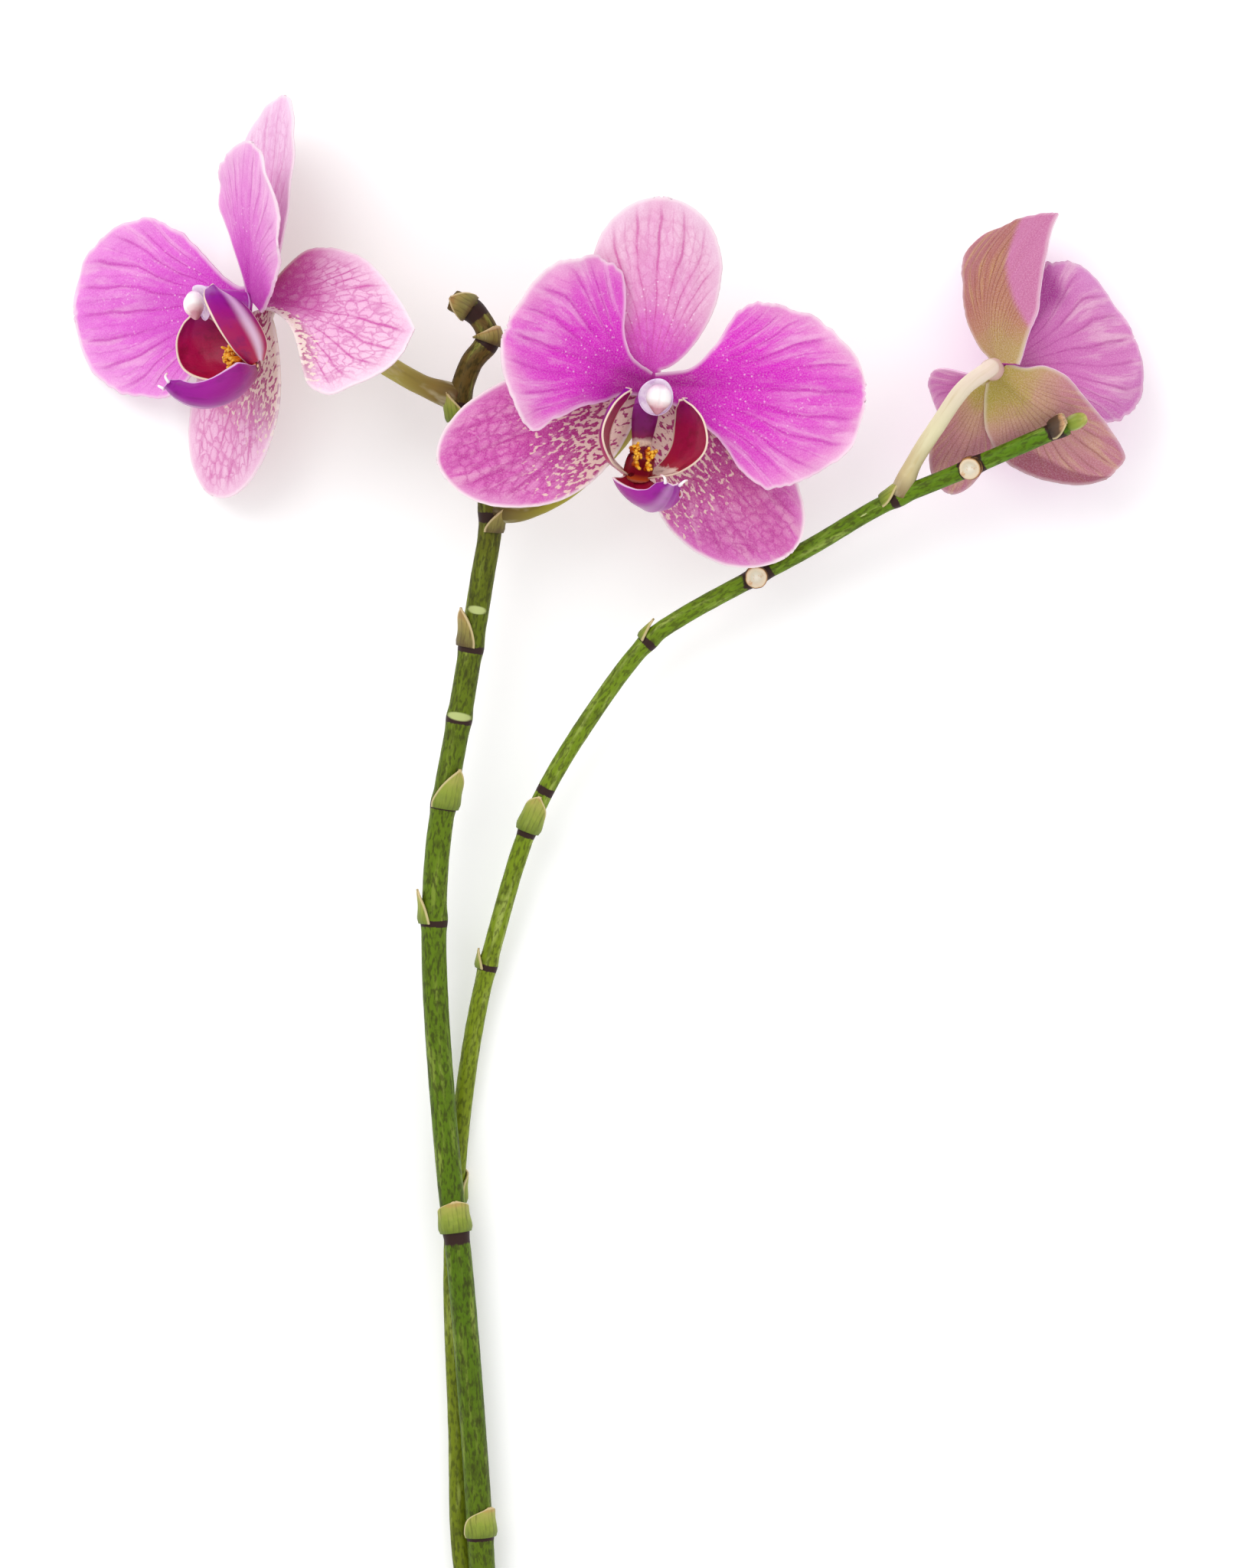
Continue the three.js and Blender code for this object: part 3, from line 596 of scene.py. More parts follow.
tepal("centre_right_petal", centre, True,
      tepal_skin("petal front, magenta, right", petal_stops, veins=0.75),
      petal_back, turn=1.5, rise=10, twist=-8,
      length=46, left=21.8, right=20.2, curl=-14, ruffle=1,
      left_edge=[(-0.07, 0.14), (0.1, 0.2), (0.22, 0.42), (0.31, 0.72), (0.36, 0.86), (0.45, 0.95),
                 (0.55, 0.92), (0.63, 0.85), (0.71, 0.81), (0.79, 0.7), (0.87, 0.55), (0.95, 0.37),
                 (1, 0.1)],
      right_edge=[(-0.07, 0.14), (0.11, 0.28), (0.21, 0.48), (0.29, 0.66), (0.34, 0.84), (0.4, 1.0),
                  (0.49, 1.1), (0.56, 1.12), (0.67, 1.07), (0.76, 0.97), (0.87, 0.8), (0.95, 0.6),
                  (1, 0.2)])
tepal("centre_dorsal_sepal", centre, False,
      tepal_skin("sepal front, pale pink", [
          (0, "d23cbb"), (0.14, "dc5cc4"), (0.34, "e597cb"), (0.6, "e9b3d2"), (1, "eed0e2"),
      ], vein="c43c96", veins=0.7, count=9, net=0.2, speck=0.8, blush=("f3cfe4", 0.5)),
      sepal_back, turn=90.5, rise=3, twist=-4,
      length=41, left=15.2, right=15.2, curl=-16, cup=-1.5, claw=0.6, widest=0.58, ruffle=0.3)
tepal("centre_left_lateral_sepal", centre, False,
      tepal_skin("sepal front, wine, left", [
          (0, "a01c70"), (0.25, "ba3090"), (0.45, "cf5cae"), (0.7, "d466b4"), (1, "e4a2ce"),
      ], vein="b0128a", veins=0.6, count=8, rim=0.85, net=0.55, spot="ecd0c0", speck=0.4,
          blush=("e6aacb", 0.6)),
      sepal_back, turn=-156, rise=-7, twist=8, lipward=1,
      length=49, left=17.5, right=13.5, curl=-16, claw=0.8, widest=0.5, ruffle=0.3)
tepal("centre_right_lateral_sepal", centre, False,
      tepal_skin("sepal front, wine, right", [
          (0, "a01c62"), (0.25, "b83c86"), (0.5, "ce66aa"), (0.75, "d668b8"), (1, "e6a4d0"),
      ], vein="b0128a", veins=0.5, count=8, rim=0.85, net=0.5, spot="ecd0c0", speck=0.4,
          blush=("e2a6c4", 0.6)),
      sepal_back, turn=-48, rise=3, twist=4, lipward=-1,
      length=49.5, left=13.5, right=18, curl=-16, claw=0.8, widest=0.52, ruffle=0.3)

# Left flower: it faces away to the left, so its face is seen from the side, its near petal edge on.
# Its sepals are light pink with a net of veins, and cream with wine spots beside the lip.
left = flower_frame((-84.4, 144.8, 27.3), (-0.92, -0.02, 0.39), (0.08, 1, 0))
tepal("left_left_petal", left, True,
      tepal_skin("petal front, bright pink", [
          (0, "b81cac"), (0.2, "d23ec4"), (0.5, "e068d2"), (1, "eea4e0"),
      ], vein="bc20a6", veins=0.7),
      petal_back, turn=-176, rise=39, twist=-3,
      length=46, left=21, right=21.5, curl=6, claw=1.4, tip=2.2, ruffle=0.8)
tepal("left_right_petal", left, True,
      tepal_skin("petal front, light pink", [
          (0, "c42cb4"), (0.25, "db66cb"), (0.5, "e592d4"), (1, "efc0e2"),
      ], vein="c040aa", veins=0.6),
      petal_back, turn=58, rise=8, twist=6,
      length=37.5, left=17, right=17, curl=-8, ruffle=0.8,
      left_edge=[(-0.08, 0.1), (0, 0.16), (0.2, 0.62), (0.4, 1.02), (0.6, 1.02), (0.8, 0.7),
                 (0.95, 0.36), (1, 0.1)],
      right_edge=[(-0.08, 0.45), (0, 0.6), (0.2, 0.85), (0.4, 1.0), (0.6, 1.0), (0.8, 0.78),
                  (0.95, 0.45), (1, 0.15)])
tepal("left_dorsal_sepal", left, False,
      tepal_skin("sepal front, blush", [
          (0, "dc8cc8"), (0.3, "e6a9d6"), (0.6, "ebc0e0"), (1, "f2d8ea"),
      ], vein="cc62ac", veins=0.4, count=8, net=0.25, blush=("f5dcee", 0.5)),
      sepal_back, depth=4.5, turn=94, rise=-7, twist=2,
      length=44.8, left=25, right=13, curl=-12, claw=0.7, ruffle=0.3)
tepal("left_left_lateral_sepal", left, False,
      tepal_skin("sepal front, rose", [
          (0, "a23062"), (0.2, "c0608c"), (0.4, "eaacd2"), (1, "f2cce2"),
      ], vein="c43498", veins=0.45, count=8, net=0.5, spot="efdccc", blush=("f2cde2", 0.5)),
      sepal_back, depth=4.5, turn=-116, rise=9, twist=-20, lipward=1,
      length=47, left=16, right=13.5, curl=-14, claw=0.8, widest=0.5, ruffle=0.3)
tepal("left_right_lateral_sepal", left, False,
      tepal_skin("sepal front, netted pink", [
          (0, "c4469c"), (0.16, "da7cbc"), (0.36, "edb6da"), (1, "f6dcea"),
      ], vein="c22c98", veins=0.75, count=11, net=0.5, spot="f0e0d0", blush=("f0c8de", 0.5)),
      sepal_back, depth=4.5, turn=-15, rise=-38, twist=-38,
      patch=lambda u, v, y: 0.95 * smooth(-v, 0.15, 0.95) * (1 - smooth(u, 0.25, 0.7)),
      length=38.5, left=16.5, right=18.5, curl=-24, ruffle=0.3,
      left_edge=[(-0.08, 0.3), (0, 0.68), (0.1, 0.92), (0.29, 0.99), (0.47, 0.94), (0.65, 0.74),
                 (0.83, 0.44), (0.95, 0.2), (1, 0.08)],
      right_edge=[(-0.08, 0.1), (0, 0.1), (0.13, 0.19), (0.25, 0.37), (0.35, 0.62), (0.44, 0.88),
                  (0.53, 1.06), (0.66, 1.1), (0.79, 0.9), (0.89, 0.7), (0.96, 0.48), (1, 0.25)])

# Right flower: smaller and cupped, seen from behind. Its backs are brown and dusky where the light
# tissue has aged, and olive at the base. A dark band along one lateral sepal's edge is painted
# shade of a fold.
right = flower_frame((90.2, 128, 34), (0.3, 0.03, -0.95), (0.2, 1, 0))
right_front = tepal_skin("petal front, inside the cup", petal_stops)
brown_back = tepal_skin("sepal back, brown rose", [
    (0, "ae9458"), (0.2, "b07c5c"), (0.5, "a96858"), (0.8, "a8646a"), (1, "b87080"),
], vein="7e3028", veins=0.8, count=13, net=0.05, speck=0, blush=("c8a560", 0.6), rim=0.3,
   patch="c470a4")
rose_back = tepal_skin("petal back, rose magenta", [
    (0, "c06aa4"), (0.25, "c968b0"), (0.6, "cf78b8"), (1, "d68cc6"),
], vein="a8308c", veins=0.6, net=0.05, speck=0, blush=("e8bcd2", 0.7), rim=0.3,
   patch="9c2a86")
# Its patch colour, a dark mauve, is painted shade of a fold, laid on where a sepal's patch mark
# asks.
olive_back = tepal_skin("sepal back, olive rose", [
    (0, "a99a3c"), (0.07, "b59c52"), (0.17, "c29878"), (0.4, "c38488"), (1, "b05c84"),
], vein="8e4c46", veins=0.6, net=0.08, speck=0, blush=("d0a884", 0.6), rim=0.3, patch="8c4256")
tepal("right_dorsal_sepal", right, False, right_front, brown_back, turn=92, rise=28, twist=-32,
      length=39, left=11, right=10.5, curl=16, cup=2, sway=-6.3, ruffle=0.3,
      patch=lambda u, v, y: 0.85 * smooth(y + 22 * u, 12.5, 15),
      left_edge=[(-0.08, 0.4), (0, 0.6), (0.13, 0.84), (0.32, 1.1), (0.5, 1.04), (0.69, 0.84),
                 (0.85, 0.55), (1, 0.25)],
      right_edge=[(-0.08, 0.25), (0, 0.36), (0.05, 0.5), (0.21, 0.8), (0.38, 1.1), (0.59, 1.5),
                  (0.77, 2.05), (0.9, 2.4), (0.97, 2.3), (1, 1.8)])
tepal("right_left_petal", right, True, right_front, rose_back, turn=152, rise=51, twist=-8,
      length=37, left=19, right=22, curl=10, claw=1.5, tip=2.2, ruffle=0.9,
      patch=lambda u, v, y: (
          0.9 * smooth(-v, 0.42, 0.66) * (1 - smooth(u, 0.5, 0.66)) + 0.45 * smooth(v, 0.5, 0.95)))
tepal("right_right_petal", right, True, right_front, rose_back, turn=-45, rise=52, twist=-10,
      length=28, left=11, right=11, curl=14, claw=1.5, tip=2.2, ruffle=0.5)
tepal("right_right_lateral_sepal", right, False, right_front, olive_back, turn=-73, rise=27,
      twist=-24, length=32, left=8.5, right=6.2, curl=12, claw=0.7, widest=0.5, ruffle=0.3)
tepal("right_left_lateral_sepal", right, False, right_front, olive_back, turn=-147, rise=36,
      twist=9, length=36.5, left=12.5, right=11, curl=12, ruffle=0.3,
      # The dark band along this sepal's edge is painted shade of a fold.
      patch=lambda u, v, y: 0.8 * smooth(v, 0.56, 0.66) * smooth(u, 0.3, 0.5),
      left_edge=[(-0.08, 0.3), (0, 0.6), (0.175, 1.05), (0.385, 1.24), (0.56, 1.18), (0.73, 1.0),
                 (0.93, 0.6), (1, 0.3)],
      right_edge=[(-0.08, 0.3), (0.02, 0.46), (0.12, 0.8), (0.26, 0.92), (0.48, 0.8), (0.765, 0.6),
                  (0.97, 0.33), (1, 0.15)])

# Column, anther cap and lip: the heart of each flower. The column is a short purple rod whose hood
# holds the white cap, and whose foot runs down to the lip. All of it is waxy and wet-looking.
column_radius, column_length, cap_radius, lip_drop = 2.6, 10, 3, 17
lip_wall = 0.42
crest_fingers = 30


def waxy_skin(name, stops, dark, rim_colour, rim_width=0.26, gloss=0.32, painted_sheen_band=None):
    """Thick, waxy lip tissue: colour along the lobe, darker clouds, and a thin pale rim. Where
    asked, a whitish band is laid across it as a painted sheen, a painted highlight.
    """
    material, surface = new_material(name, gloss, 0.22)
    flat, mark = marks(material)
    edge = parts(material, flat)[2]
    along, across, _ = parts(material, mark)
    cloud = clouds(material, flat, 0.35, 4.0, 0.6)
    grain = clouds(material, flat, 2.2, 2.0)
    place = shifted(material, along, cloud, 0.3)
    shade = ramp(material, stops, place)
    shade = over(material, shade, dark, ease(material, cloud, 0.48, 0.7, 0, 0.55))
    # Painted sheen: a whitish band across the lobe, a painted highlight of the waxy surface.
    if painted_sheen_band:
        middle, reach, strength = painted_sheen_band
        off = math_node(material, "ABSOLUTE", math_node(material, "SUBTRACT", across, middle))
        painted_sheen_share = ease(material, off, 0.0, reach, strength, 0)
        shade = over(material, shade, "f0dcf2", painted_sheen_share)
    shade = over(material, shade, rim_colour,
                 ease(material, edge, rim_width * 0.5, rim_width * 1.4, 0.95, 0))
    return coat(material, surface, shade, grain, 0.3, 0.15)


ear_inside = waxy_skin("lip ear, crimson inside", [
    (0, "b02038"), (0.04, "f2dccb"), (0.22, "f0d6c8"), (0.27, "b01438"), (0.4, "a80a40"),
    (0.7, "a80a4c"), (1, "94106c")], "780628", "f3dcc8")
# Its outside carries a strong painted sheen, a whitish painted highlight band.
ear_outside = waxy_skin("lip ear, magenta outside", [
    (0, "b01848"), (0.4, "a0105a"), (0.75, "8c1090"), (1, "8a1098")], "780a58", "f3dcc8",
    painted_sheen_band=(-0.35, 0.5, 0.7))
boat_inside = waxy_skin("middle lobe, crimson inside", [
    (0, "9c0c34"), (0.5, "a80f3c"), (1, "8c0f58")], "760630", "f4dce0")
# Its outside carries a faint painted sheen, a whitish painted highlight band.
boat_outside = waxy_skin("middle lobe, purple outside", [
    (0, "8a0a3c"), (0.3, "98107c"), (0.6, "9c1490"), (1, "8c108c")], "78086c", "e0b0e4",
    painted_sheen_band=(-0.15, 0.4, 0.22))
# Its hood end runs to lilac-white, partly the hood's own pale colour and partly painted highlight.
column_purple = waxy_skin("column, lilac purple", [
    (0, "a4289c"), (0.5, "b040b0"), (0.74, "c070cc"), (0.84, "e8d0ee"), (1, "f6ecf6"),
], "b468c0", "d8a6e0", rim_width=0.01, gloss=0.38)
foot_purple = waxy_skin("column foot, purple to cream", [
    (0, "8a1880"), (0.5, "7c1260"), (0.66, "8c2050"), (0.73, "efd9c4"), (0.82, "ecd0b4"),
    (0.86, "8c0e2c"), (1, "7c0a26"),
], "620a3c", "d8a6e0", rim_width=0.01, gloss=0.45)


def callus_skin(name, stops, blotches):
    """Callus: hard, shiny tissue, blotched in yellow, cream and dark red."""
    material, surface = new_material(name, 0.3, 0.35)
    flat, mark = marks(material)
    along = parts(material, mark)[0]
    shade = ramp(material, stops, along)
    for code, scale, low in blotches:
        blotch = ease(material, clouds(material, flat, scale, 2.0), low, low + 0.05, 0, 0.95)
        shade = over(material, shade, code, blotch)
    return coat(material, surface, shade)


callus_yellow = callus_skin("callus crest, yellow orange", [
    (0, "8c1020"), (0.3, "d05c14"), (0.6, "f0961a"), (1, "fac43c")], [("9c2414", 1.4, 0.6)])
callus_pad = callus_skin("callus pad, blotched", [
    (0, "f0d8bc"), (0.2, "d86428"), (0.36, "8c1028"), (1, "780a24"),
], [("5c0818", 0.5, 0.56), ("f0cfa8", 0.45, 0.66)])


def cap_skin():
    """Anther cap: smooth white tissue with a warm, pink-brown beak."""
    material, surface = new_material("anther cap, white", 0.35, 0.5, Subsurface_Weight=0.1)
    surface.inputs["Subsurface Radius"].default_value = (0.001, 0.0006, 0.0006)
    flat, mark = marks(material)
    along = parts(material, mark)[0]
    cloud = clouds(material, flat, 0.6, 3.0)
    place = shifted(material, along, cloud, 0.25)
    shade = ramp(material, [
        (0, "d9b3cf"), (0.25, "f6eef2"), (0.6, "f8f3f2"), (0.85, "e9c9cc"), (1, "c98c9a"),
    ], place)
    return coat(material, surface, shade)


cap_white = cap_skin()


def on_heart(heart, line, girth, rows, sides, flatten=(1, 1)):
    """A rod of the heart, grown along a line in the heart's own frame."""
    def skin(u, v):
        distance = line.length * u
        centre = line.at(distance)
        along = (line.at(distance + 0.2) - line.at(distance - 0.2)).normalized()
        across = Vector((1, 0, 0))
        up = along.cross(across).normalized()
        across = up.cross(along)
        radius = girth(u)
        edge = min(u, 1 - u) * line.length
        radius *= round_nose(edge, radius * 0.6)
        angle = math.pi * v
        place = (centre + across * math.sin(angle) * radius * flatten[0]
                 + up * math.cos(angle) * radius * flatten[1])
        return heart @ place, tuple(place), (u, v, 0)
    return grow(rows, sides, skin, closed=True)


def lip_lobe(heart, rows, columns, place, rim, inward):
    """A thin lobe of the lip. rim(u, v) is the distance to its rim, in mm; inward is the way its
    inside looks."""
    def surface(u, v):
        at = place(u, v)
        return heart @ at, (at.x, at.y, rim(u, v)), (u, v, 0)
    return grow(rows, columns, surface, facing=(heart.to_3x3() @ inward))


def flower_heart(prefix, flower, at, lean, pitch=0, swing=0, size=1):
    """The column, the cap and the lip of one flower, leaning by angles in degrees."""
    heart = (flower @ Matrix.Translation(Vector(at)) @ Matrix.Rotation(math.radians(lean), 4, "Z")
             @ Matrix.Rotation(math.radians(-pitch), 4, "X") @ Matrix.Scale(size, 4))
    axis = Line([(0, 0, 0.2 - at[2] / size), (0, 0.6, 5), (0, 0, column_length)])

    def hood(u, v):
        """The column swells to a hood that opens round the anther cap, then folds inwards."""
        skirt = 0.82
        distance = axis.length * min(u / skirt, 1)
        centre = axis.at(distance)
        angle = math.pi * v
        radius = column_radius * (1 + 0.5 * smooth(u / skirt, 0.5, 1))
        top = max(math.cos(angle), 0) ** 2
        if u > skirt:
            t = (u - skirt) / (1 - skirt)
            centre = centre + Vector((0, 0, 2.6 * top * math.sin(math.pi * t) - 0.5 * t))
            radius *= (1 + 0.12 * math.sin(math.pi * t)) * (1 - t**3) ** 0.7 if t < 1 else 0
        radius *= round_nose(u, 0.05)
        place = centre + Vector((math.sin(angle) * radius, math.cos(angle) * radius, 0))
        return heart @ place, tuple(place), (u, v, 0)

    finish_piece(f"{prefix}_column_hood", grow(48, 40, hood, closed=True), [column_purple],
                 "column", f"{prefix}_column")
    foot = Line([(0, -0.5, 2.4), (0, -lip_drop / 3, 1.8), (0, -lip_drop + 6.2, 2.2),
                 (0, -lip_drop + 4.2, 2.6)])
    finish_piece(
        f"{prefix}_column_foot",
        on_heart(heart, foot, lambda u: 1.2 - 0.35 * smooth(u, 0.2, 0.9), 40, 28,
                 flatten=(column_radius, 0.9)),
        [foot_purple], "column", f"{prefix}_column")

    bm = bmesh.new()
    flat = bm.verts.layers.float_vector.new("flat")
    mark = bm.verts.layers.float_vector.new("mark")
    bmesh.ops.create_uvsphere(bm, u_segments=48, v_segments=32, radius=1)
    for vert in bm.verts:
        x, y, z = vert.co
        beak = smooth(-y, 0.35, 1)
        groove = 0.16 * math.exp(-(x / 0.16) ** 2) * smooth(z, 0, 0.6)
        place = Vector((x * (1 - 0.45 * beak) * cap_radius,
                        (y - 0.28 * beak) * 1.05 * cap_radius,
                        (z * (1 - 0.35 * beak) - groove) * 0.8 * cap_radius))
        place += Vector((0, -0.4, column_length + 0.3 + 0.8 * cap_radius))
        vert[flat], vert[mark] = place, ((1 - y) / 2 + 0.25 * beak, x, z)
        vert.co = (heart @ place + spray_zero) * MM
    finish_piece(f"{prefix}_anther_cap_shell", bm, [cap_white], "cap", f"{prefix}_anther_cap")

    hinge = heart @ Matrix.Translation(Vector((0, -lip_drop, 0)))
    keel = Line([(0, 0.5, -1), (0, -4.3, 2.4), (0, -7.9, 7), (0, -9.5, 12.5), (0, -9, 17.5),
                 (0, -7, 21), (0, -4.6, 23)])
    turn = Matrix.Rotation(math.radians(swing), 3, "Y")

    def boat(u, v):
        s = (1 - math.cos(math.pi * u)) / 2 * 0.5 + u * 0.5
        distance = keel.length * s
        shoulder = 0.34
        girth = (2.6 + 7.7 * smooth(s, 0, shoulder) if s < shoulder
                 else 10.3 - 6.3 * smooth(s, shoulder, 1))
        girth *= 1 - 0.45 * smooth(s, 0.93, 1) + 0.02 * noise.noise(Vector((s * 14, v, 4)))
        bend = math.radians(48 + 30 * s)
        along = (keel.at(distance + 0.2) - keel.at(distance - 0.2)).normalized()
        inner = -Vector((1, 0, 0)).cross(along)
        crease = 0.35 * math.exp(-(v / 0.12) ** 2)
        at_place = (keel.at(distance) + Vector((1, 0, 0)) * (girth * math.sin(v * bend) / bend)
                    + inner * (girth * (1 - math.cos(v * bend)) / bend - crease))
        return turn @ at_place

    finish_piece(
        f"{prefix}_lip_middle_lobe",
        lip_lobe(hinge, 60, 48, boat, lambda u, v: min((1 - abs(v)) * 8, (1 - u) * 28),
                 Vector((0, 1, 0.2))),
        [boat_inside, boat_outside], "lip", f"{prefix}_lip", wall=lip_wall, back=1)
    tip_at = keel.at(keel.length)
    for side, hand in ((-1, "left"), (1, "right")):
        horn = Line([tip_at + Vector((side * 1.6, -0.2, -0.4)),
                     tip_at + Vector((side * 2.6, 1.2, 0.6)),
                     tip_at + Vector((side * 3.6, 1.6, 0.2))])
        finish_piece(
            f"{prefix}_lip_{hand}_horn",
            on_heart(hinge @ turn.to_4x4(), horn, lambda u: 0.42 - 0.24 * u, 14, 14),
            [cap_white], "lip", f"{prefix}_lip")
        back_edge = Line([(2.2, 0.8, -1.2), (5.5, 3.5, -1.5), (7.4, 8, 0.5), (6.8, 13.5, 3.5),
                          (5.3, 17.4, 8.5)])
        front_edge = Line([(2.4, -0.6, 2.5), (8.3, 1, 8.5), (12.3, 6, 13.3), (11, 12.5, 14.3),
                           (6.3, 18, 11.5)])

        def ear(u, v, side=side):
            share = (1 + v) / 2
            a, b = back_edge.by_knots(u), front_edge.by_knots(u)
            round_tip = smooth(u, 0.9, 1)
            middle = a.lerp(b, 0.5)
            place = a.lerp(b, share).lerp(middle, 0.55 * round_tip)
            bulge = 1.4 * 4 * share * (1 - share) + 0.12 * noise.noise(Vector((u * 6, v * 3, 2)))
            tip_lift = 0.4 * round_tip * math.sin(math.pi * share)
            return Vector((side * (place.x + bulge), place.y + tip_lift, place.z))

        finish_piece(
            f"{prefix}_lip_{hand}_ear",
            lip_lobe(hinge, 44, 36, ear, lambda u, v: min((1 - abs(v)) * 5, (1 - u) * 20),
                     Vector((-side, 0, 0.35))),
            [ear_inside, ear_outside], "lip", f"{prefix}_lip", wall=lip_wall, back=1)

    pad = Line([(0, -1.6, 0.2), (0, 0.6, 1.8), (0, 3.2, 3.2), (0, 5, 4.2)])
    finish_piece(
        f"{prefix}_lip_base",
        on_heart(hinge, pad, lambda u: 2.1 + 0.4 * math.sin(math.pi * u), 32, 32,
                 flatten=(1.4, 0.7)),
        [callus_pad], "lip", f"{prefix}_lip")
    crests = random.Random(11)
    for number in range(crest_fingers):
        side = 1 if number % 2 else -1
        foot_at = Vector((side * crests.uniform(0.8, 2.5), crests.uniform(1.0, 5.4), 3.4))
        lean_out = Vector((side * crests.uniform(-0.3, 0.9), crests.uniform(-1.9, 1.6),
                           crests.uniform(2.4, 3.8)))
        bend = Vector((crests.uniform(-0.5, 0.5), crests.uniform(-0.5, 0.5), 0))
        finger = Line([foot_at, foot_at + lean_out * 0.5 + bend, foot_at + lean_out])
        girth = crests.uniform(0.42, 0.72)
        finish_piece(
            f"{prefix}_lip_crest_{number}",
            on_heart(hinge, finger, lambda u, girth=girth: girth * (1 - 0.3 * u), 14, 12),
            [callus_yellow], "lip", f"{prefix}_lip")


flower_heart("centre", centre, (-1.4, -4.2, 0), lean=-9, pitch=21, swing=8)
flower_heart("left", left, (0, -0.8, 1.1), lean=25)
flower_heart("right", right, (0, 0, 8.5), lean=-16, size=0.66)

# Flower stalks: smooth rods from a node on a stem to the back of a flower, thicker at both ends.
receptacle_radius = 2.7


def stalk_skin(name, stops, dark):
    """Flower stalk: smooth, waxy and faintly ribbed, from green-brown at its foot to pale."""
    material, surface = new_material(name, 0.45, 0.2)
    flat, mark = marks(material)
    share = parts(material, mark)[0]
    ribs = clouds(material, stretched(material, flat, 1.1, 16), 1.0, 4.0)
    patches = clouds(material, stretched(material, flat, 3, 7), 1.0, 3.0)
    shade = ramp(material, stops, share)
    shade = over(material, shade, dark, ease(material, ribs, 0.5, 0.72, 0, 0.45))
    shade = over(material, shade, "f1ecc9", ease(material, patches, 0.5, 0.7, 0, 0.3))
    return coat(material, surface, shade, ribs, 0.4, 0.2)


def stalk(name, stem_line, at, flower, depth, radius, route, material):
    start = stem_line.at(at)
    out = flower.to_3x3() @ Vector((0, 0, 1))
    end = flower.translation - out * (depth + 1.1)
    line = Line([start, *route, end - out * 5, end])

    def girth(distance):
        t = distance / line.length
        foot = radius * (1 + 0.3 * (1 - smooth(t, 0.02, 0.2)))
        return foot + (receptacle_radius - radius) * smooth(t, 0.85, 1)

    finish_piece(name + "_skin", tube(line, girth, 150, 32,
                 lambda distance, angle: (distance / line.length, 0, 0)), [material], "stalk", name)


stalk("centre_stalk", main_line, main_nodes["centre stalk"], centre, layer_step, 2.2,
      [(-20.5, 95.6, 23.5), (-11.5, 99.5, 25), (-1.5, 108, 27.5), (5.5, 117, 31)],
      stalk_skin("stalk, olive brown", [
          (0, "3c2a16"), (0.1, "7c6c34"), (0.25, "a0962c"), (0.6, "a8a038"), (1, "c4b48c"),
      ], "74682a"))
stalk("left_stalk", main_line, main_nodes["left stalk"], left, 4.5, 2.45,
      [(-44, 125, 24.4), (-52, 129.5, 24), (-62, 136, 23.4), (-71, 141, 23)],
      stalk_skin("stalk, yellow green", [
          (0, "4e361c"), (0.13, "8a7434"), (0.3, "aea24e"), (0.7, "c2b866"), (1, "d8c8a0"),
      ], "8e8440"))
stalk("right_stalk", side_line, side_nodes["stalk"], right, layer_step, 1.95,
      [(71, 106.5, 26.5), (76.3, 115, 32.5), (82.3, 123.5, 40), (88, 127.7, 44.5)],
      stalk_skin("stalk, cream", [
          (0, "6c5230"), (0.12, "c9b98c"), (0.4, "e2dab2"), (0.8, "e6d4c4"), (1, "cfa0a0"),
      ], "c8b480"))

# Bracts: small clasping leaves at the nodes. They are green and fleshy at the foot, and dry to a
# thin, pale or brown papery rim and point.


def bract_skin(name, stops, fibre):
    """Bract: fine fibres run its length, and its rim is dry, pale and paper-thin."""
    material, surface = new_material(name, 0.5, 0.35)
    flat, mark = marks(material)
    x, y, edge = parts(material, flat)
    along = parts(material, mark)[0]
    sheet = joined(material, math_node(material, "MULTIPLY", x, 0.12),
                   math_node(material, "MULTIPLY", y, 1.5))
    fibres = clouds(material, sheet, 1.0, 4.0, 0.6)
    cloud = clouds(material, flat, 0.5, 3.0)
    place = shifted(material, along, cloud, 0.5)
    shade = ramp(material, stops, place)
    shade = over(material, shade, fibre, ease(material, fibres, 0.48, 0.66, 0, 0.55))
    shade = over(material, shade, "d8c494", ease(material, edge, 0.2, 0.7, 0.75, 0))
    return coat(material, surface, shade, fibres, 0.5, 0.2)


green_bract = bract_skin("bract, green", [
    (0, "66781c"), (0.4, "87962e"), (0.8, "a2a248"), (1, "b49450")], "4e5414")
brown_bract = bract_skin("bract, brown edged", [
    (0, "5a4a24"), (0.3, "7c7434"), (0.7, "9c8a48"), (1, "a06c3c")], "4a3418")
dry_bract = bract_skin("bract, dry tan", [
    (0, "2e221a"), (0.45, "5a4230"), (0.68, "c09468"), (1, "ecc8ae")], "4c3422")
bract_wall = 0.45


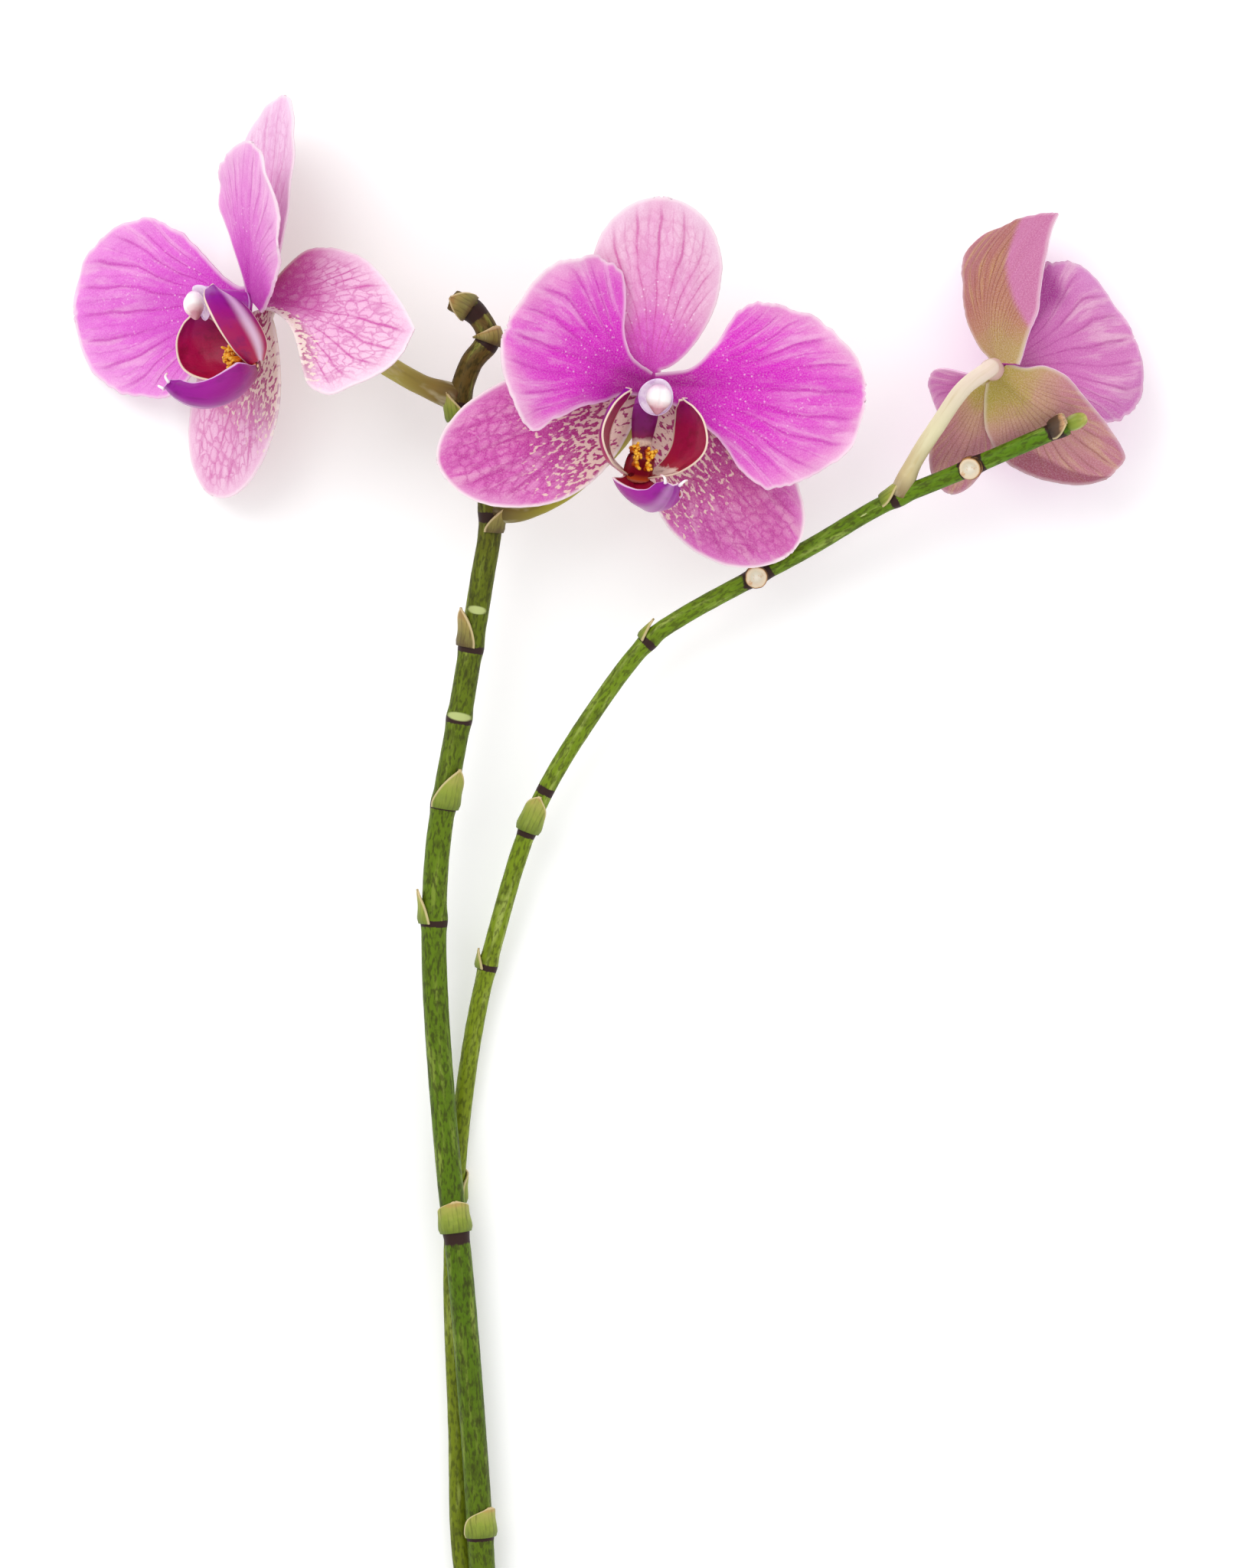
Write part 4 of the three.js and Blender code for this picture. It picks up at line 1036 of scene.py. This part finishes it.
def bract(name, line, girth, at, length, facing, clasp, flare=0, narrow=1.6, material=green_bract):
    """A leaf clasped round a stem. facing is the side it is on: 0 is up, 90 is to the right."""
    def surface(u, v):
        half = math.radians(clasp) * max(1 - u**narrow, 0.05)
        angle = math.radians(facing) - v * half
        distance = at + u * length
        centre, along, across, up = line.frame(distance)
        offset = girth(distance) + 0.55 + flare * u * u
        offset += 0.12 * noise.noise(Vector((u * 3, v * 2, at))) * u
        offset -= 0.25 * (1 - smooth(u, 0, 0.15))
        place = centre + (up * math.cos(angle) + across * math.sin(angle)) * offset
        edge = min((1 - abs(v)) * half * offset, (1 - u) * length)
        return place, (u * length, v * half * offset, edge), (u, v, 0)
    outward = line.frame(at)[3] * math.cos(math.radians(facing))
    outward += line.frame(at)[2] * math.sin(math.radians(facing))
    finish_piece(name + "_leaf", grow(30, 36, surface, facing=outward), [material],
                 "dry_bract" if material == dry_bract else "bract", name, wall=bract_wall)


def on_main(name, node, back, *shape, **more):
    bract(name, main_line, main_girth, main_nodes[node] - back, *shape, **more)


def on_side(name, node, back, *shape, **more):
    bract(name, side_line, side_girth, side_nodes[node] - back, *shape, **more)


on_main("main_low_sheath", "low sheath", 1, 7, 50, 115, narrow=4)
on_main("main_middle_sheath", "middle sheath", 1, 7.5, 10, 125, narrow=4)
on_main("main_small_bract", "small bract", 1, 8, -75, 60, flare=0.8)
on_main("main_front_bract", "front bract", 1, 10, 35, 85, flare=0.9)
on_main("main_leafy_bract", "leafy bract", 0, 9, -50, 65, flare=1.6, material=brown_bract)
on_main("centre_stalk_bract", "centre stalk", 5, 6, 60, 85, flare=0.8, material=brown_bract)
on_main("left_stalk_bract", "left stalk", 5, 6, -50, 85, flare=0.8)
on_main("main_top_ring", "top ring", 0, 3, 40, 150, narrow=4, material=brown_bract)
on_main("main_tip_bract", "tip bract", 0, 6, 0, 80, flare=0.3, material=brown_bract)
on_side("side_low_sheath", "low sheath", 1, 8, 140, 105, narrow=4)
on_side("side_small_bract", "small bract", 1, 4.5, -80, 60, flare=0.5)
on_side("side_long_sheath", "long sheath", 1, 9, -10, 110, narrow=2.5)
on_side("side_point_bract", "point", 1, 5, -80, 60, flare=0.6)
on_side("right_stalk_bract", "stalk", 4, 6, -60, 75, flare=0.8)
on_side("side_dry_bract", "end", 2.5, 6, -30, 75, flare=1.2, material=dry_bract)

# Stubs: two flower stalks were cut off the side stem. Each left a short plug with a dark collar and
# a pale, dry, slightly hollow end.
stub_radius, stub_height, stub_hollow = 2.75, 2.6, 0.55


def stub_skin():
    """Healed cut: dry, pale tissue in the middle, orange-brown cracks and a dark collar."""
    material, surface = new_material("healed cut, pale", 0.7, 0.25)
    flat, mark = marks(material)
    along = parts(material, mark)[0]
    cloud = clouds(material, flat, 0.5, 5.0, 0.65)
    place = shifted(material, along, cloud, 0.14)
    shade = ramp(material, [
        (0, "35241a"), (0.42, "4a3320"), (0.5, "c08a50"), (0.58, "e0cdb0"), (0.8, "d6cdb8"),
        (1, "e8e0d0")], place)
    shade = over(material, shade, "c68a4e", ease(material, cloud, 0.52, 0.62, 0, 0.6))
    return coat(material, surface, shade, cloud, 0.6, 0.3)


healed_cut = stub_skin()


def stub(name, at, facing):
    centre, along, across, up = side_line.frame(at)
    turn = math.radians(facing)
    out = up * math.cos(turn) + across * math.sin(turn)
    third = out.cross(along)
    foot = centre + out * (side_girth(at) - 0.4)
    profile = Line([(stub_radius, 0, -0.7), (stub_radius, 0, 0.6), (2.6, 0, 1.6), (2.35, 0, 2.45),
                    (1.9, 0, stub_height), (1.2, 0, 2.2), (0, 0, stub_height - stub_hollow)])

    def surface(u, v):
        angle = math.pi * v
        r, _, h = profile.at(profile.length * u)
        r *= 1 + 0.06 * noise.noise(Vector((math.cos(angle) * 2, math.sin(angle) * 2, at)))
        h += 0.15 * noise.noise(Vector((r * math.cos(angle), r * math.sin(angle), at)))
        if u == 1:
            r = 0
        place = foot + along * math.cos(angle) * r + third * math.sin(angle) * r + out * h
        return place, (r * math.cos(angle), r * math.sin(angle), h), (u, v, 0)
    bm = grow(30, 40, surface, closed=True)
    rim = [edge for edge in bm.edges if edge.is_boundary]
    bmesh.ops.holes_fill(bm, edges=rim, sides=0)
    bmesh.ops.recalc_face_normals(bm, faces=bm.faces)
    finish_piece(name + "_plug", bm, [healed_cut], "scar", name)


stub("side_low_stub", side_nodes["low stub"], 5)
stub("side_high_stub", side_nodes["high stub"], 5)

# Bud: the last, undeveloped bud at the end of the side stem, small, green and yellow at its point.
bud_radius, bud_length = 1.9, 5.8
bud_line = side_line.frame(side_line.length)
bud_green = stalk_skin("bud, green", [(0, "5c6c20"), (0.5, "8c9c3a"), (1, "bbb15c")], "6a7a24")
bud_start = bud_line[0] - bud_line[1] * 1.3


def bud_surface(u, v):
    distance = bud_length * (1 - math.cos(math.pi * u)) / 2
    angle = math.pi * v
    _, along, across, up = bud_line
    radius = bud_radius * math.sin(math.pi * u) ** 0.8 if 0 < u < 1 else 0
    radius *= 1 + 0.05 * math.cos(3 * angle) * u
    out = up * math.cos(angle) + across * math.sin(angle)
    place = bud_start + along * distance + out * radius
    return place, (radius * math.cos(angle), radius * math.sin(angle), distance), (u, v, 0)


finish_piece("side_tip_bud_skin", grow(32, 28, bud_surface, closed=True), [bud_green], "bud",
             "side_tip_bud")

# Floor and light: a plain pale floor under one broad soft light from the upper left and an even
# pale sky, as on a light table.
bpy.ops.mesh.primitive_plane_add(size=6)
floor = bpy.context.object
floor.name = "floor"
floor_paint, floor_surface = new_material("floor, matt white", 0.9, 0.1)
floor_surface.inputs["Base Color"].default_value = colour("f8f8f8")
floor_surface.inputs["Emission Color"].default_value = (1, 1, 1, 1)
floor_surface.inputs["Emission Strength"].default_value = 0.16
floor.data.materials.append(floor_paint)
world = bpy.data.worlds.new("pale sky")
world.use_nodes = True
world.node_tree.nodes["Background"].inputs["Color"].default_value = (1, 1, 1, 1)
world.node_tree.nodes["Background"].inputs["Strength"].default_value = 0.84
bpy.context.scene.world = world
for name, place, size, energy in [
    ("key light", Vector((-0.7, 0.9, 1.5)), 1.2, 12),
    ("fill light", Vector((0.9, -0.5, 1.2)), 1.4, 3),
]:
    lamp_data = bpy.data.lights.new(name, "AREA")
    lamp_data.size = size
    lamp_data.energy = energy
    lamp = bpy.data.objects.new(name, lamp_data)
    lamp.location = place
    lamp.rotation_euler = (Vector((0, 0.05, 0)) - place).to_track_quat("-Z", "Y").to_euler()
    bpy.context.scene.collection.objects.link(lamp)
bpy.context.scene.view_settings.view_transform = "Standard"
